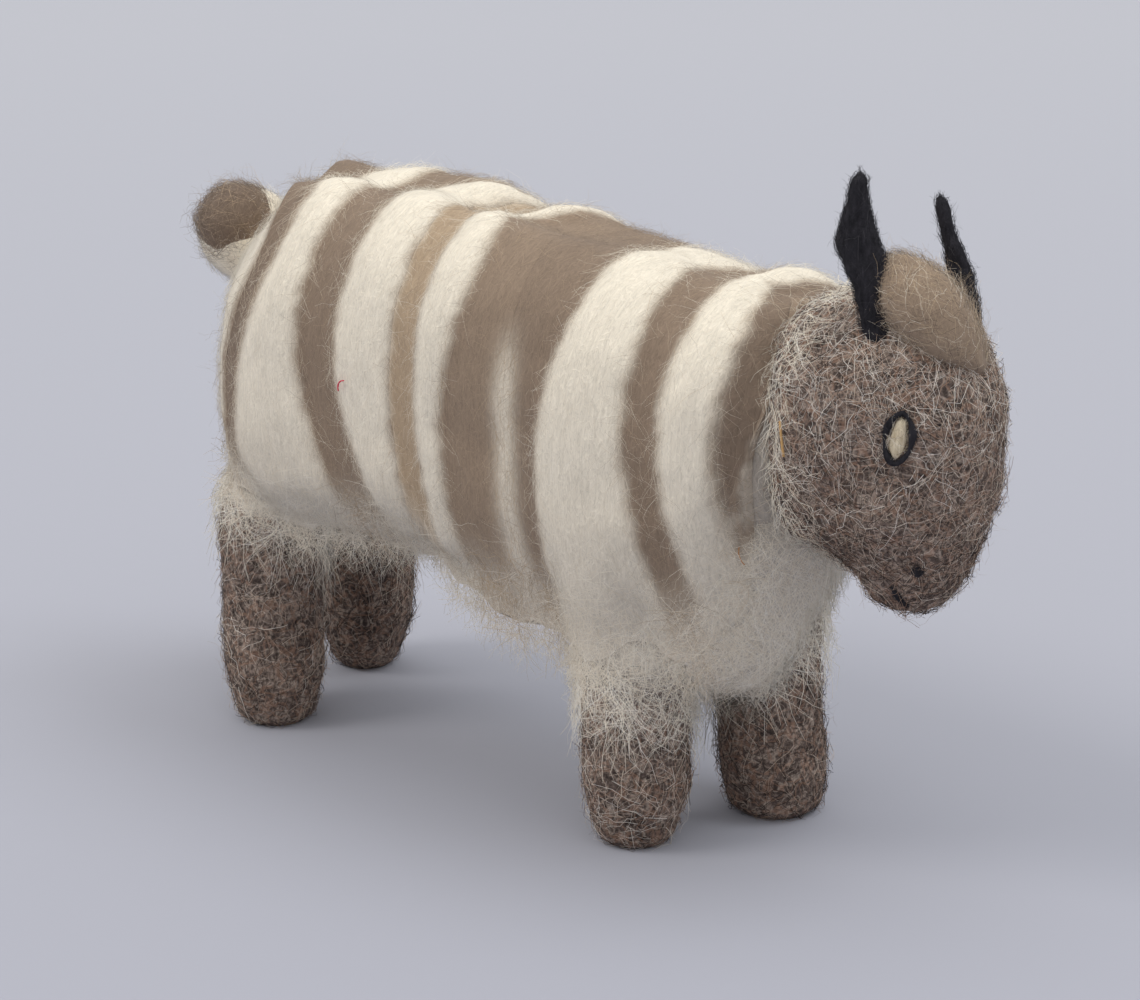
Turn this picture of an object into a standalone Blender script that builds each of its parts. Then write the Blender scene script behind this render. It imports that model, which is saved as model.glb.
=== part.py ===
# A needle-felted wool goat. A packed wool core carries four coarse felt legs and a coarse felt head by
# their roots. Strips of combed cream and taupe wool lie over its back like saddles, needled down along the
# spine. The goat faces +X and stands on z = 0. Sizes are in millimetres, angles in degrees.
import math

import bmesh
import bpy
from mathutils import Matrix, Vector

MM = 0.001

# Clearances
ROOT_GAP = 0.3           # round a root in its socket, and round a small piece in its pocket
CORE_GAP = 0.5           # between the core and the fleece on it
BELLY_GAP = 1.0          # the same, below the widest line, where the fleece hangs
STRIP_GAP = 0.5          # between neighbouring pieces of fleece

# Packed core: a barrel with a domed rump, drawn in to the neck at the front
BARREL_HEIGHT = 72.0     # height of the widest line
BARREL_REAR = -30.0      # where the rump dome starts
CORE_HALF_WIDTH = 23.5
RUMP_RISE = 29.5         # back above the widest line, at the barrel's rear
WITHERS_RISE = 25.6      # the same, at the barrel's front
CORE_DROP = 34.5         # belly below the widest line
RUMP_LENGTH = 32.2
CHEST_LENGTH = 32.0
NECK_RISE = 8.0          # middle of the flat end that the head is needled to, above the widest line
NECK_RADIUS = 14.0
RUMP_POWER = 2.2         # 2 is round, more is boxier
BACK_POWER = 2.3
BELLY_POWER = 2.5

# Strips of combed wool, rear to front: name, width along the spine, width along the flank, and how far the
# hem hangs below the widest line
STRIPS = (
    ("taupe_strip_1", 5.0, 4.5, 26.0),
    ("cream_strip_1", 14.5, 18.5, 34.0),
    ("taupe_strip_2", 7.0, 8.5, 32.0),
    ("cream_strip_2", 17.0, 16.0, 30.0),
    ("taupe_strip_3", 7.0, 6.0, 29.0),
    ("cream_strip_3", 5.5, 5.0, 32.0),
    ("taupe_strip_4", 10.0, 17.0, 35.0),
    ("taupe_strip_5", 15.5, 7.0, 34.0),
    ("cream_strip_4", 16.0, 17.0, 37.0),
    ("taupe_strip_6", 9.0, 6.5, 32.0),
    ("cream_strip_5", 5.5, 10.0, 38.0),
    ("taupe_strip_7", 5.0, 5.5, 27.0),
    ("collar_fleece", 7.5, 2.5, 21.0),
)
STRIP_EDGE = 3.6         # thickness along a strip's two sides
CREAM_CROWN = 5.6        # thickness along a cream strip's middle
TAUPE_CROWN = 5.0
SHOULDER_AT = 0.2        # share of a strip's width where its side has rounded up to its shoulder
SHOULDER_FILL = 0.75     # share of the way from side to crown that the shoulder has risen
HEM_THICKNESS = 2.4
HEM_REACH = 4.0          # how far a hem runs on past a leg before it tucks in
HEM_TUCK = 2.0           # 1 hangs straight, more turns in late, less flares out early
HEM_FLARE = 0.7
SPINE_GROOVE = 2.6       # how deep the needle has drawn the strips down along the spine
GROOVE_ANGLE = 11.0      # how far round the barrel the groove spreads
SPINE_RUN = 21.0         # first strip's rear edge behind the barrel's rear, at the spine
HAUNCH_RUN = 18.5        # the same, at the flank
BELLY_HEM_Y = 17.0       # how far out the hem hangs between the legs, and less of it under the neck
RUMP_THICKNESS = 5.4
RUMP_HEM = 28.0          # below the widest line
RUMP_TUCK = 4.0          # how far the rump's hem draws in

# Chest fleece, a tongue that hangs from under the neck: height from the widest line, middle behind the
# neck's end, half width, depth
CHEST_SLICES = (
    (-38.0, 12.5, 6.5, 3.0),
    (-34.0, 11.8, 11.0, 6.0),
    (-27.0, 10.2, 14.0, 8.0),
    (-19.0, 7.6, 15.5, 8.6),
    (-12.5, 5.6, 15.0, 8.6),
)
CHEST_BOW = 4.0          # how far its two sides curve back

# Legs: coarse felt stumps, flat under the foot
LEG_RADIUS = 9.7
ANKLE_RADIUS = 8.9
SOLE_RADIUS = 6.4
SOLE_ROUND = 4.0         # height over which the foot rounds out
SOLE_FILL = ((0.0, 0.0), (0.3, 0.62), (1.0, 1.0))          # share of that height, share of the rounding
LEG_FILL = ((0.34, 0.985), (0.6, 1.0), (0.88, 0.93), (1.0, 0.62))  # share of the leg's height and radius
LEG_ROOT = 13.5          # how far a leg's root reaches up into the core, above the belly
ROOT_INSET = 9.9         # root's axis in from the core's side
FORE_SPLAY = 0.0         # foot further out than its root
HIND_SPLAY = 3.2
FORE_LEG_BEHIND = 27.0   # fore feet behind the neck's end
HIND_LEG_BEHIND = 21.2   # hind feet behind the barrel's rear
FORE_STEP = 4.4          # left fore foot ahead of the right, half of it each way
HIND_STEP = 3.8          # right hind foot ahead of the left, half of it each way
ROOT_GATHER = 0.35       # share of that step which the roots don't take

# Head, in slices from muzzle to crown: height from the neck's middle, back and front from the neck's end,
# half width
HEAD_SLICES = (
    (-30.0, 15.0, 23.0, 4.5),
    (-26.0, 12.0, 27.0, 8.0),
    (-21.0, 5.0, 30.0, 11.0),
    (-18.0, -8.0, 31.6, 13.0),
    (-11.0, -12.0, 33.6, 16.2),
    (-4.0, -14.0, 34.4, 17.6),
    (4.0, -14.0, 34.6, 18.0),
    (11.0, -13.0, 33.4, 17.4),
    (17.0, -10.0, 30.0, 15.0),
    (21.0, -4.0, 25.0, 11.0),
    (23.0, 2.0, 21.5, 6.2),
)
MUZZLE_BULGE = 1.4       # below the first slice
CROWN_BULGE = 0.6        # above the last slice
HEAD_POWER = 2.35
NECK_WALL = 5.0          # of core wool round the head's root
NECK_ROOT_DEPTH = 12.0   # how far the head's root reaches back into the core
NECK_ROOT_FILL = ((0.0, 0.8), (0.15, 1.0), (1.0, 1.0))     # share of the root's length, share of its radius

# Eyes: a cream pellet in a black rim, set in a shallow pocket. Heights here are from the neck's middle
EYE_HEIGHT = 4.3
EYE_ANGLE = 52.0         # round the head from straight ahead
EYE_TALL = 6.8
EYE_WIDE = 3.4
EYE_RIM = 0.5            # radius of the rolled rim
EYE_TILT = 8.0
EYE_POCKET = 1.3         # how deep the eye is sunk

# Nostrils and mouth
NOSTRIL_HEIGHT = -19.7
NOSTRIL_ANGLE = 44.5
NOSTRIL_RADIUS = 1.5
NOSTRIL_DEPTH = 0.9
MOUTH_ANGLES = (64.0, 45.0)
MOUTH_HEIGHTS = (-21.9, -26.5)
MOUTH_RADIUS = 0.7
MOUTH_TAPER = 0.75       # share of its radius left at a stitch's two ends

# Horns and forelock, ahead of the neck's end and above its middle. The left horn is the smaller one
HORNS = {
    "right": {"side": -1, "ahead": 16.4, "aside": 8.6, "base": 20.0, "height": 24.8, "lean": 3.2,
              "girth": 4.0},
    "left": {"side": 1, "ahead": 21.5, "aside": 9.4, "base": 18.0, "height": 20.8, "lean": 6.4,
             "girth": 2.6},
}
HORN_FILL = (0.66, 0.7, 0.88, 1.0, 0.88, 0.65, 0.34)      # share of its girth, from root to tip
HORN_SINK = 4.0          # depth of a horn's root in the head
HORN_BEND = 1.5          # how far it bows back half way up
FORELOCK_AHEAD = 22.6
FORELOCK_HEIGHT = 22.4
FORELOCK_LENGTH = 16.5
FORELOCK_WIDTH = 15.0
FORELOCK_TALL = 18.0

# Tail
TAIL_OUT = 8.4           # stub's centre behind the rump's end
TAIL_RISE = 15.0         # and above the widest line
TAIL_RADIUS = 10.5
TUFT_RADIUS = 8.6
TUFT_FLATNESS = 0.88     # height of the tuft against its length
TUFT_RISE = 4.6          # tuft's centre above the stub's
TUFT_ASIDE = 1.6         # and towards the right of it
TUFT_BACK = 0.6          # and behind it

# Mesh fineness
ARC_ANGLES = (0, 8, 20, 42, 66, 90)                        # round the back, from the spine to the flank
BELLY_ANGLES = (110, 132, 156, 180, 204, 228, 250)
DOME_SHARES = (0.985, 0.93, 0.83, 0.68, 0.48, 0.25)        # along the core's rump, tip to barrel
CAP_SHARES = (0.0, 0.28, 0.53, 0.74, 0.89, 0.97)           # along the rump fleece, barrel to tip
BARREL_STEPS = 4
CHEST_STEPS = 6
SKIRT_STEPS = 4
ROUND_SIDES = 16
HEAD_SIDES = 22
HORN_SIDES = 10
BALL_SIDES = 14
BALL_LEVELS = 8
PELLET_LEVELS = 6
RIM_SIDES = 7
RIM_TURNS = 20
STITCH_STEPS = 5
STITCH_SIDES = 8
PROBE = 2.0              # step over which a slope of the head is measured
POCKET_REACH = 6.0       # how far a pocket's cutter stands out of the head
CAP_ROOT = 3.0           # how far the rump fleece's inner point lies behind its edge

NECK_HEIGHT = BARREL_HEIGHT + NECK_RISE
NECK_X = BARREL_REAR - HAUNCH_RUN + sum(strip[2] for strip in STRIPS)
BARREL_FRONT = NECK_X - CHEST_LENGTH
LEG_TOP = BARREL_HEIGHT - CORE_DROP + LEG_ROOT
ROOT_SPREAD = CORE_HALF_WIDTH - ROOT_INSET
TAIL_CENTRE = (BARREL_REAR - RUMP_LENGTH - TAIL_OUT, 0.0, BARREL_HEIGHT + TAIL_RISE)
NOSE_X = NECK_X + max(head_slice[2] for head_slice in HEAD_SLICES)
TAIL_X = TAIL_CENTRE[0] - max(TAIL_RADIUS, TUFT_BACK + TUFT_RADIUS)
MIDDLE_X = (NOSE_X + TAIL_X) / 2

COLOURS = {
    "core_wool": ((0.62, 0.57, 0.49), 0.95),
    "cream_wool": ((0.80, 0.75, 0.66), 0.92),
    "taupe_wool": ((0.24, 0.18, 0.13), 0.92),
    "coarse_felt": ((0.20, 0.155, 0.125), 0.95),
    "black_felt": ((0.014, 0.014, 0.016), 0.9),
    "eye_wool": ((0.60, 0.51, 0.37), 0.9),
}


def clear_scene():
    for obj in list(bpy.data.objects):
        bpy.data.objects.remove(obj, do_unlink=True)


def wool(slot):
    material = bpy.data.materials.get(slot)
    if material is None:
        colour, roughness = COLOURS[slot]
        material = bpy.data.materials.new(slot)
        material.use_nodes = True
        shader = material.node_tree.nodes["Principled BSDF"]
        shader.inputs["Base Color"].default_value = (*colour, 1.0)
        shader.inputs["Roughness"].default_value = roughness
        shader.inputs["Metallic"].default_value = 0.0
    return material


def to_metres(point):
    return Vector(((point[0] - MIDDLE_X) * MM, point[1] * MM, point[2] * MM))


def finish(name, slot, mesh_data):
    """Turn a bmesh in metres into a smooth-shaded object of one wool, or into a hidden cutter."""
    bmesh.ops.recalc_face_normals(mesh_data, faces=mesh_data.faces)
    mesh = bpy.data.meshes.new(name)
    mesh_data.to_mesh(mesh)
    mesh_data.free()
    mesh.shade_smooth()
    obj = bpy.data.objects.new(name, mesh)
    bpy.context.scene.collection.objects.link(obj)
    if slot:
        mesh.materials.append(wool(slot))
    else:
        obj.hide_render = True
        obj.display_type = "WIRE"
    return obj


def loft(name, slot, rings, start=None, end=None):
    """Skin closed rings of points, with a fan to a point at each end or a flat face where none is given."""
    mesh_data = bmesh.new()
    loops = [[mesh_data.verts.new(to_metres(point)) for point in ring] for ring in rings]
    count = len(rings[0])
    for first, second in zip(loops, loops[1:]):
        for i in range(count):
            j = (i + 1) % count
            mesh_data.faces.new((first[i], first[j], second[j], second[i]))
    for loop, tip in ((loops[0], start), (loops[-1], end)):
        if tip is None:
            mesh_data.faces.new(loop)
            continue
        peak = mesh_data.verts.new(to_metres(tip))
        for i in range(count):
            mesh_data.faces.new((loop[i], loop[(i + 1) % count], peak))
    return finish(name, slot, mesh_data)


def cut(obj, *cutters, operation="DIFFERENCE"):
    for cutter in cutters:
        modifier = obj.modifiers.new(cutter.name, "BOOLEAN")
        modifier.operation = operation
        modifier.solver = "EXACT"
        modifier.object = cutter


def power(value, exponent):
    return math.copysign(abs(value) ** exponent, value)


def lerp(first, second, share):
    return first + (second - first) * share


def circle(centre, radius, sides=ROUND_SIDES):
    turns = [2 * math.pi * i / sides for i in range(sides)]
    return [(centre[0] + radius * math.cos(t), centre[1] + radius * math.sin(t), centre[2]) for t in turns]


# Body form, shared by the core and everything laid on it

def section(x, grow):
    """Half width, middle height, rise and drop of the core at x, grown outwards by a thickness."""
    rear = min(max((BARREL_REAR - x) / (RUMP_LENGTH + grow), 0.0), 1.0)
    left = (1 - rear ** RUMP_POWER) ** (1 / RUMP_POWER)
    along = min(max((x - BARREL_REAR) / (BARREL_FRONT - BARREL_REAR), 0.0), 1.0)
    front = min(max((x - BARREL_FRONT) / CHEST_LENGTH, 0.0), 1.0) ** 2
    half = (lerp(CORE_HALF_WIDTH, NECK_RADIUS, front) + grow) * left
    rise = (lerp(lerp(RUMP_RISE, WITHERS_RISE, along), NECK_RADIUS, front) + grow) * left
    drop = (lerp(CORE_DROP, NECK_RADIUS, front) + grow) * left
    return half, lerp(BARREL_HEIGHT, NECK_HEIGHT, front), rise, drop


def arc_point(x, angle, grow):
    half, middle, rise, _ = section(x, grow)
    turn = math.radians(angle)
    y = half * power(math.sin(turn), 2 / BACK_POWER)
    return (x, y, middle + rise * power(math.cos(turn), 2 / BACK_POWER))


def core_half_at(x, height, grow):
    """Half width of the core at a height below its widest line."""
    half, middle, _, drop = section(x, grow)
    below = min((middle - height) / drop, 1.0)
    return half * (1 - below ** BELLY_POWER) ** (1 / BELLY_POWER)


def core_ring(x, grow):
    """Closed section of the core, upper half on the strips' own angles."""
    upper = [-angle for angle in reversed(ARC_ANGLES[1:])] + list(ARC_ANGLES)
    ring = [arc_point(x, angle, grow) for angle in upper]
    half, middle, _, drop = section(x, grow)
    for angle in BELLY_ANGLES:
        turn = math.radians(angle)
        y = half * power(math.sin(turn), 2 / BELLY_POWER)
        ring.append((x, y, middle + drop * power(math.cos(turn), 2 / BELLY_POWER)))
    return ring


def core_solid(name, slot, grow):
    stations = [BARREL_REAR - share * (RUMP_LENGTH + grow) for share in DOME_SHARES]
    stations += [lerp(BARREL_REAR, BARREL_FRONT, i / BARREL_STEPS) for i in range(BARREL_STEPS + 1)]
    stations += [lerp(BARREL_FRONT, NECK_X, (i + 1) / CHEST_STEPS) for i in range(CHEST_STEPS)]
    rings = [core_ring(x, grow) for x in stations]
    if grow:
        rings.append([(x + grow, y, z) for x, y, z in rings[-1]])
    return loft(name, slot, rings, (BARREL_REAR - RUMP_LENGTH - grow, 0, BARREL_HEIGHT))


# Strips

def strip_edges():
    """Spine and flank positions of the lines between strips, rear to front."""
    spine = [BARREL_REAR - SPINE_RUN]
    flank = [BARREL_REAR - HAUNCH_RUN]
    for _, spine_width, flank_width, _ in STRIPS:
        spine.append(spine[-1] + spine_width)
        flank.append(flank[-1] + flank_width)
    return list(zip(spine, flank))


def edge_x(edge, angle):
    """A line between strips swings back towards the spine, where the needle drew it in."""
    return lerp(edge[0], edge[1], math.sqrt(math.sin(math.radians(min(abs(angle), 90)))))


def groove(angle):
    return SPINE_GROOVE * math.exp(-((angle / GROOVE_ANGLE) ** 2))


def skirt_point(x, side, step, grow, hem_y, hem_height):
    """Below the flank a strip hangs free, from the barrel's widest line to its hem."""
    half, middle, _, _ = section(x, grow)
    bow = HEM_TUCK if hem_y < half else HEM_FLARE
    height = lerp(middle, hem_height, step)
    hugging = core_half_at(x, height, grow - CORE_GAP + BELLY_GAP)
    return (x, side * max(hugging, lerp(half, hem_y, step ** bow)), height)


def strip_stations():
    skirt = [(i + 1) / SKIRT_STEPS for i in range(SKIRT_STEPS)]
    near = [("skirt", -1, step) for step in reversed(skirt)]
    over = [("arc", 0, -angle) for angle in reversed(ARC_ANGLES[1:])]
    over += [("arc", 0, angle) for angle in ARC_ANGLES]
    far = [("skirt", 1, step) for step in skirt]
    return near + over + far


def hem_offset(x, side, height):
    """How far out a hem hangs: round any leg that it covers, and tucked under the belly elsewhere."""
    out = BELLY_HEM_Y * section(x, 0.0)[0] / CORE_HALF_WIDTH
    share = height / LEG_TOP
    for leg in LEGS.values():
        leg_x = lerp(leg["foot"][0], leg["top"][0], share)
        leg_y = side * lerp(leg["foot"][1], leg["top"][1], share)
        if leg_y > 0 and abs(x - leg_x) < LEG_RADIUS + HEM_REACH:
            out = max(out, leg_y + LEG_RADIUS + STRIP_GAP)
    return out


def strip_solid(name, rear_edge, front_edge, hem_height):
    taupe = name.startswith("taupe")
    crown = TAUPE_CROWN if taupe else CREAM_CROWN
    shoulder = lerp(STRIP_EDGE, crown, SHOULDER_FILL)
    outside = [(0.0, STRIP_EDGE), (SHOULDER_AT, shoulder), (0.5, crown), (1 - SHOULDER_AT, shoulder)]
    across = [(0.0, 0.0)] + outside + [(1.0, STRIP_EDGE), (1.0, 0.0), (0.5, 0.0)]
    rings = []
    for kind, side, value in strip_stations():
        angle = value if kind == "arc" else 90
        rear = edge_x(rear_edge, angle) + STRIP_GAP / 2
        front = edge_x(front_edge, angle) - STRIP_GAP / 2
        ring = []
        for share, thickness in across:
            x = lerp(rear, front, share)
            if kind == "arc":
                grow = CORE_GAP + thickness - groove(value) * thickness / crown
                ring.append(arc_point(x, value, grow))
            else:
                out = hem_offset(x, side, hem_height) + (HEM_THICKNESS if thickness else 0)
                ring.append(skirt_point(x, side, value, CORE_GAP + thickness, out, hem_height))
        rings.append(ring)
    return loft(name, "taupe_wool" if taupe else "cream_wool", rings)


# Rump and chest fleece

def rump_ring(edge, tip_x, share):
    """One ring of the rump's cap, on its way from the first strip's edge to the dome's tip."""
    grow = CORE_GAP + RUMP_THICKNESS
    ring = []
    for kind, side, value in strip_stations():
        angle = value if kind == "arc" else 90
        x = lerp(edge_x(edge, angle) - STRIP_GAP / 2, tip_x, share)
        if kind == "arc":
            ring.append(arc_point(x, value, grow))
        else:
            half, middle, _, _ = section(x, grow)
            hem = lerp(middle - RUMP_HEM, middle, max(0.0, 1 - 2 * half / CORE_HALF_WIDTH))
            tuck = RUMP_TUCK * share * value ** 2
            ring.append((x + tuck, side * half, lerp(middle, hem, value)))
    return ring


def rump_solid(name, edge):
    tip_x = BARREL_REAR - RUMP_LENGTH - CORE_GAP - RUMP_THICKNESS
    rings = [rump_ring(edge, tip_x, share) for share in CAP_SHARES]
    inside = (min(edge) - CAP_ROOT, 0, BARREL_HEIGHT)
    return loft(name, "cream_wool", rings, inside, (tip_x, 0, BARREL_HEIGHT))


def chest_solid(name):
    rings = []
    for height, behind, half_width, depth in CHEST_SLICES:
        flat = circle((0, 0, BARREL_HEIGHT + height), 1.0)
        middle = NECK_X - behind
        rings.append([(middle + a * depth / 2 - CHEST_BOW * b * b, b * half_width, c) for a, b, c in flat])
    return loft(name, "cream_wool", rings)


# Legs

def leg_places():
    """Foot and root of each leg, in plan."""
    legs = {}
    for end, centre, splay, step in (
        ("fore", NECK_X - FORE_LEG_BEHIND, FORE_SPLAY, FORE_STEP),
        ("hind", BARREL_REAR - HIND_LEG_BEHIND, HIND_SPLAY, -HIND_STEP),
    ):
        for side_name, side in (("right", -1), ("left", 1)):
            foot_x = centre + side * step
            legs[f"{end}_leg_{side_name}"] = {
                "foot": (foot_x, side * (ROOT_SPREAD + splay)),
                "top": (lerp(foot_x, centre, ROOT_GATHER), side * ROOT_SPREAD),
            }
    return legs


LEGS = leg_places()


def leg_solid(name, slot, leg, grow):
    """A felt stump, rounded out above its flat sole and rounded over at its root."""
    profile = [(share * SOLE_ROUND, lerp(SOLE_RADIUS, ANKLE_RADIUS, fill)) for share, fill in SOLE_FILL]
    profile += [(share * LEG_TOP, fill * LEG_RADIUS) for share, fill in LEG_FILL]
    rings = []
    for height, radius in profile:
        x = lerp(leg["foot"][0], leg["top"][0], height / LEG_TOP)
        y = lerp(leg["foot"][1], leg["top"][1], height / LEG_TOP)
        rings.append(circle((x, y, height), radius + grow))
    if grow:
        rings[0] = [(x, y, z - grow) for x, y, z in rings[0]]
        rings[-1] = [(x, y, z + grow) for x, y, z in rings[-1]]
    return loft(name, slot, rings)


# Head

def head_slice_at(height):
    """Back, front and half width of the head at a height from the neck's middle."""
    for lower, upper in zip(HEAD_SLICES, HEAD_SLICES[1:]):
        if height <= upper[0]:
            break
    share = (height - lower[0]) / (upper[0] - lower[0])
    back, front, half = (lerp(lower[i], upper[i], share) for i in (1, 2, 3))
    return NECK_X + back, NECK_X + front, half


def head_point(height, angle, grow=0.0):
    """A point on the head: angle 0 is straight ahead and 90 is its left side."""
    back, front, half = head_slice_at(height)
    turn = math.radians(angle)
    x = (back + front) / 2 + ((front - back) / 2 + grow) * power(math.cos(turn), 2 / HEAD_POWER)
    x = max(x, NECK_X + ROOT_GAP - grow)
    return Vector((x, (half + grow) * power(math.sin(turn), 2 / HEAD_POWER), NECK_HEIGHT + height))


def head_normal(height, angle):
    round_it = head_point(height, angle + PROBE) - head_point(height, angle - PROBE)
    up_it = head_point(height + PROBE, angle) - head_point(height - PROBE, angle)
    return round_it.cross(up_it).normalized()


def head_solid(name, slot, grow):
    rings = []
    for head_slice in HEAD_SLICES:
        turns = [360 * i / HEAD_SIDES for i in range(HEAD_SIDES)]
        rings.append([head_point(head_slice[0], turn, grow) for turn in turns])
    first = sum(rings[0], Vector()) / HEAD_SIDES
    last = sum(rings[-1], Vector()) / HEAD_SIDES
    bottom = (first.x, 0, first.z - MUZZLE_BULGE - grow)
    top = (last.x, 0, last.z + CROWN_BULGE + grow)
    return loft(name, slot, rings, bottom, top)


def neck_root(name, grow):
    """The part of the neck that is needled into the core: a stub along X that starts inside the head."""
    tip = NECK_X - NECK_ROOT_DEPTH - grow
    inside = NECK_X + NECK_ROOT_DEPTH
    rings = []
    for share, fill in NECK_ROOT_FILL:
        flat = circle((0, 0, 0), fill * (NECK_RADIUS - NECK_WALL) + grow)
        rings.append([(lerp(tip, inside, share), a, NECK_HEIGHT + b) for a, b, _ in flat])
    return loft(name, None, rings)


# Small felted pieces on the head

def on_head(height, angle, sink, tilt=0.0):
    """Frame with Z out of the head's surface, X round the head and Y up it."""
    out = head_normal(height, angle)
    up = Vector((0, 0, 1))
    up = (up - out * up.dot(out)).normalized()
    side = up.cross(out)
    turn = Matrix((side, up, out)).transposed().to_4x4() @ Matrix.Rotation(math.radians(tilt), 4, "Z")
    return Matrix.Translation(head_point(height, angle) - out * sink) @ turn


def oval_solid(name, slot, frame, wide, tall, deep):
    """A pressed pellet: an oval lens in the frame's XY plane, deep on both sides."""
    rings = []
    for i in range(1, PELLET_LEVELS):
        turn = math.pi * i / PELLET_LEVELS - math.pi / 2
        flat = circle((0, 0, math.sin(turn) * deep), math.cos(turn))
        rings.append([frame @ Vector((a * wide / 2, b * tall / 2, c)) for a, b, c in flat])
    return loft(name, slot, rings, frame @ Vector((0, 0, -deep)), frame @ Vector((0, 0, deep)))


def oval_pocket(name, frame, wide, tall, deep):
    """A cutter for an oval pocket: deep below the frame's plane, and past the surface above it."""
    rings = []
    for height in (-deep, POCKET_REACH):
        flat = circle((0, 0, height), 1.0)
        rings.append([frame @ Vector((a * wide / 2, b * tall / 2, c)) for a, b, c in flat])
    return loft(name, None, rings)


def rolled_rim(name, slot, frame, wide, tall, radius):
    """A roll of wool bent into an oval ring."""
    mesh_data = bmesh.new()
    loops = []
    for i in range(RIM_TURNS):
        turn = 2 * math.pi * i / RIM_TURNS
        centre = Vector((math.cos(turn) * wide / 2, math.sin(turn) * tall / 2, 0))
        out = Vector((math.cos(turn) / wide, math.sin(turn) / tall, 0)).normalized()
        loop = []
        for j in range(RIM_SIDES):
            roll = 2 * math.pi * j / RIM_SIDES
            offset = out * math.cos(roll) * radius + Vector((0, 0, math.sin(roll) * radius))
            loop.append(mesh_data.verts.new(to_metres(frame @ (centre + offset))))
        loops.append(loop)
    for here, ahead in zip(loops, loops[1:] + loops[:1]):
        for j in range(RIM_SIDES):
            k = (j + 1) % RIM_SIDES
            mesh_data.faces.new((here[j], here[k], ahead[k], ahead[j]))
    return finish(name, slot, mesh_data)


def mouth_point(side, share):
    return lerp(*MOUTH_HEIGHTS, share), side * lerp(*MOUTH_ANGLES, share)


def stitch(name, slot, side, radius):
    """A short roll of wool laid along the mouth."""
    last = STITCH_STEPS - 1
    along = head_point(*mouth_point(side, 1.0)) - head_point(*mouth_point(side, 0.0))
    rings = []
    for i in range(STITCH_STEPS):
        place = mouth_point(side, i / last)
        centre = head_point(*place)
        across = along.cross(head_normal(*place)).normalized()
        out = across.cross(along).normalized()
        flat = circle((0, 0, 0), radius * (MOUTH_TAPER if i in (0, last) else 1.0), STITCH_SIDES)
        rings.append([centre + across * a + out * b for a, b, _ in flat])
    return loft(name, slot, rings)


def horn_solid(name, slot, horn, grow):
    """A twisted black roll: waisted at its root, swollen half way up, then drawn to a blunt tip."""
    last = len(HORN_FILL) - 1
    root = NECK_HEIGHT + horn["base"] - HORN_SINK
    tip = NECK_HEIGHT + horn["base"] + horn["height"]
    rings = []
    for i, fill in enumerate(HORN_FILL):
        share = i / last
        x = NECK_X + horn["ahead"] - horn["lean"] * share - HORN_BEND * math.sin(math.pi * share)
        z = lerp(root - grow, tip + grow, share)
        rings.append(circle((x, horn["side"] * horn["aside"], z), fill * horn["girth"] + grow, HORN_SIDES))
    return loft(name, slot, rings)


def ball(name, slot, centre, radii):
    rings = []
    for i in range(1, BALL_LEVELS):
        turn = math.pi * i / BALL_LEVELS - math.pi / 2
        z = centre[2] + radii[2] * math.sin(turn)
        flat = circle((0, 0, z), math.cos(turn), BALL_SIDES)
        rings.append([(centre[0] + a * radii[0], centre[1] + b * radii[1], c) for a, b, c in flat])
    bottom = (centre[0], centre[1], centre[2] - radii[2])
    top = (centre[0], centre[1], centre[2] + radii[2])
    return loft(name, slot, rings, bottom, top)


def make_body():
    core = core_solid("core_body", "core_wool", 0.0)
    core_room = core_solid("core_room", None, CORE_GAP)
    sockets = {name: leg_solid(f"{name}_socket", None, leg, ROOT_GAP) for name, leg in LEGS.items()}
    for name, leg in LEGS.items():
        leg_solid(name, "coarse_felt", leg, 0.0)
    cut(core, *sockets.values())
    edges = strip_edges()
    for strip, rear, front in zip(STRIPS, edges, edges[1:]):
        strip_solid(strip[0], rear, front, BARREL_HEIGHT - strip[3])
    rump = rump_solid("rump_fleece", edges[0])
    cut(rump, core_room, sockets["hind_leg_right"], sockets["hind_leg_left"])
    chest = chest_solid("chest_fleece")
    cut(chest, core_room, sockets["fore_leg_right"], sockets["fore_leg_left"])
    return core, rump, chest


def make_tail(core, rump):
    ball("tail_stub", "cream_wool", TAIL_CENTRE, (TAIL_RADIUS,) * 3)
    stub_room = ball("tail_stub_room", None, TAIL_CENTRE, (TAIL_RADIUS + ROOT_GAP,) * 3)
    tuft_centre = Vector(TAIL_CENTRE) + Vector((-TUFT_BACK, -TUFT_ASIDE, TUFT_RISE))
    tuft_radii = (TUFT_RADIUS, TUFT_RADIUS, TUFT_RADIUS * TUFT_FLATNESS)
    tuft = ball("tail_tuft", "taupe_wool", tuft_centre, tuft_radii)
    tuft_room = ball("tail_tuft_room", None, tuft_centre, [radius + ROOT_GAP for radius in tuft_radii])
    cut(tuft, stub_room)
    cut(rump, stub_room, tuft_room)
    cut(core, stub_room)


def make_head(core, chest):
    head = head_solid("head", "coarse_felt", 0.0)
    head_room = head_solid("head_room", None, ROOT_GAP)
    cut(chest, head_room)
    cut(core, neck_root("neck_socket", ROOT_GAP))
    cut(head, neck_root("neck_root", 0.0), operation="UNION")
    forelock_radii = (FORELOCK_LENGTH / 2, FORELOCK_WIDTH / 2, FORELOCK_TALL / 2)
    forelock_centre = (NECK_X + FORELOCK_AHEAD, 0, NECK_HEIGHT + FORELOCK_HEIGHT)
    forelock = ball("forelock", "taupe_wool", forelock_centre, forelock_radii)
    cut(forelock, head_room)
    for side_name, horn in HORNS.items():
        horn_solid(f"horn_{side_name}", "black_felt", horn, 0.0)
        horn_room = horn_solid(f"horn_room_{side_name}", None, horn, ROOT_GAP)
        cut(head, horn_room)
        cut(forelock, horn_room)
        make_eye(head, side_name, horn["side"])
        make_nose(head, side_name, horn["side"])


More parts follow.
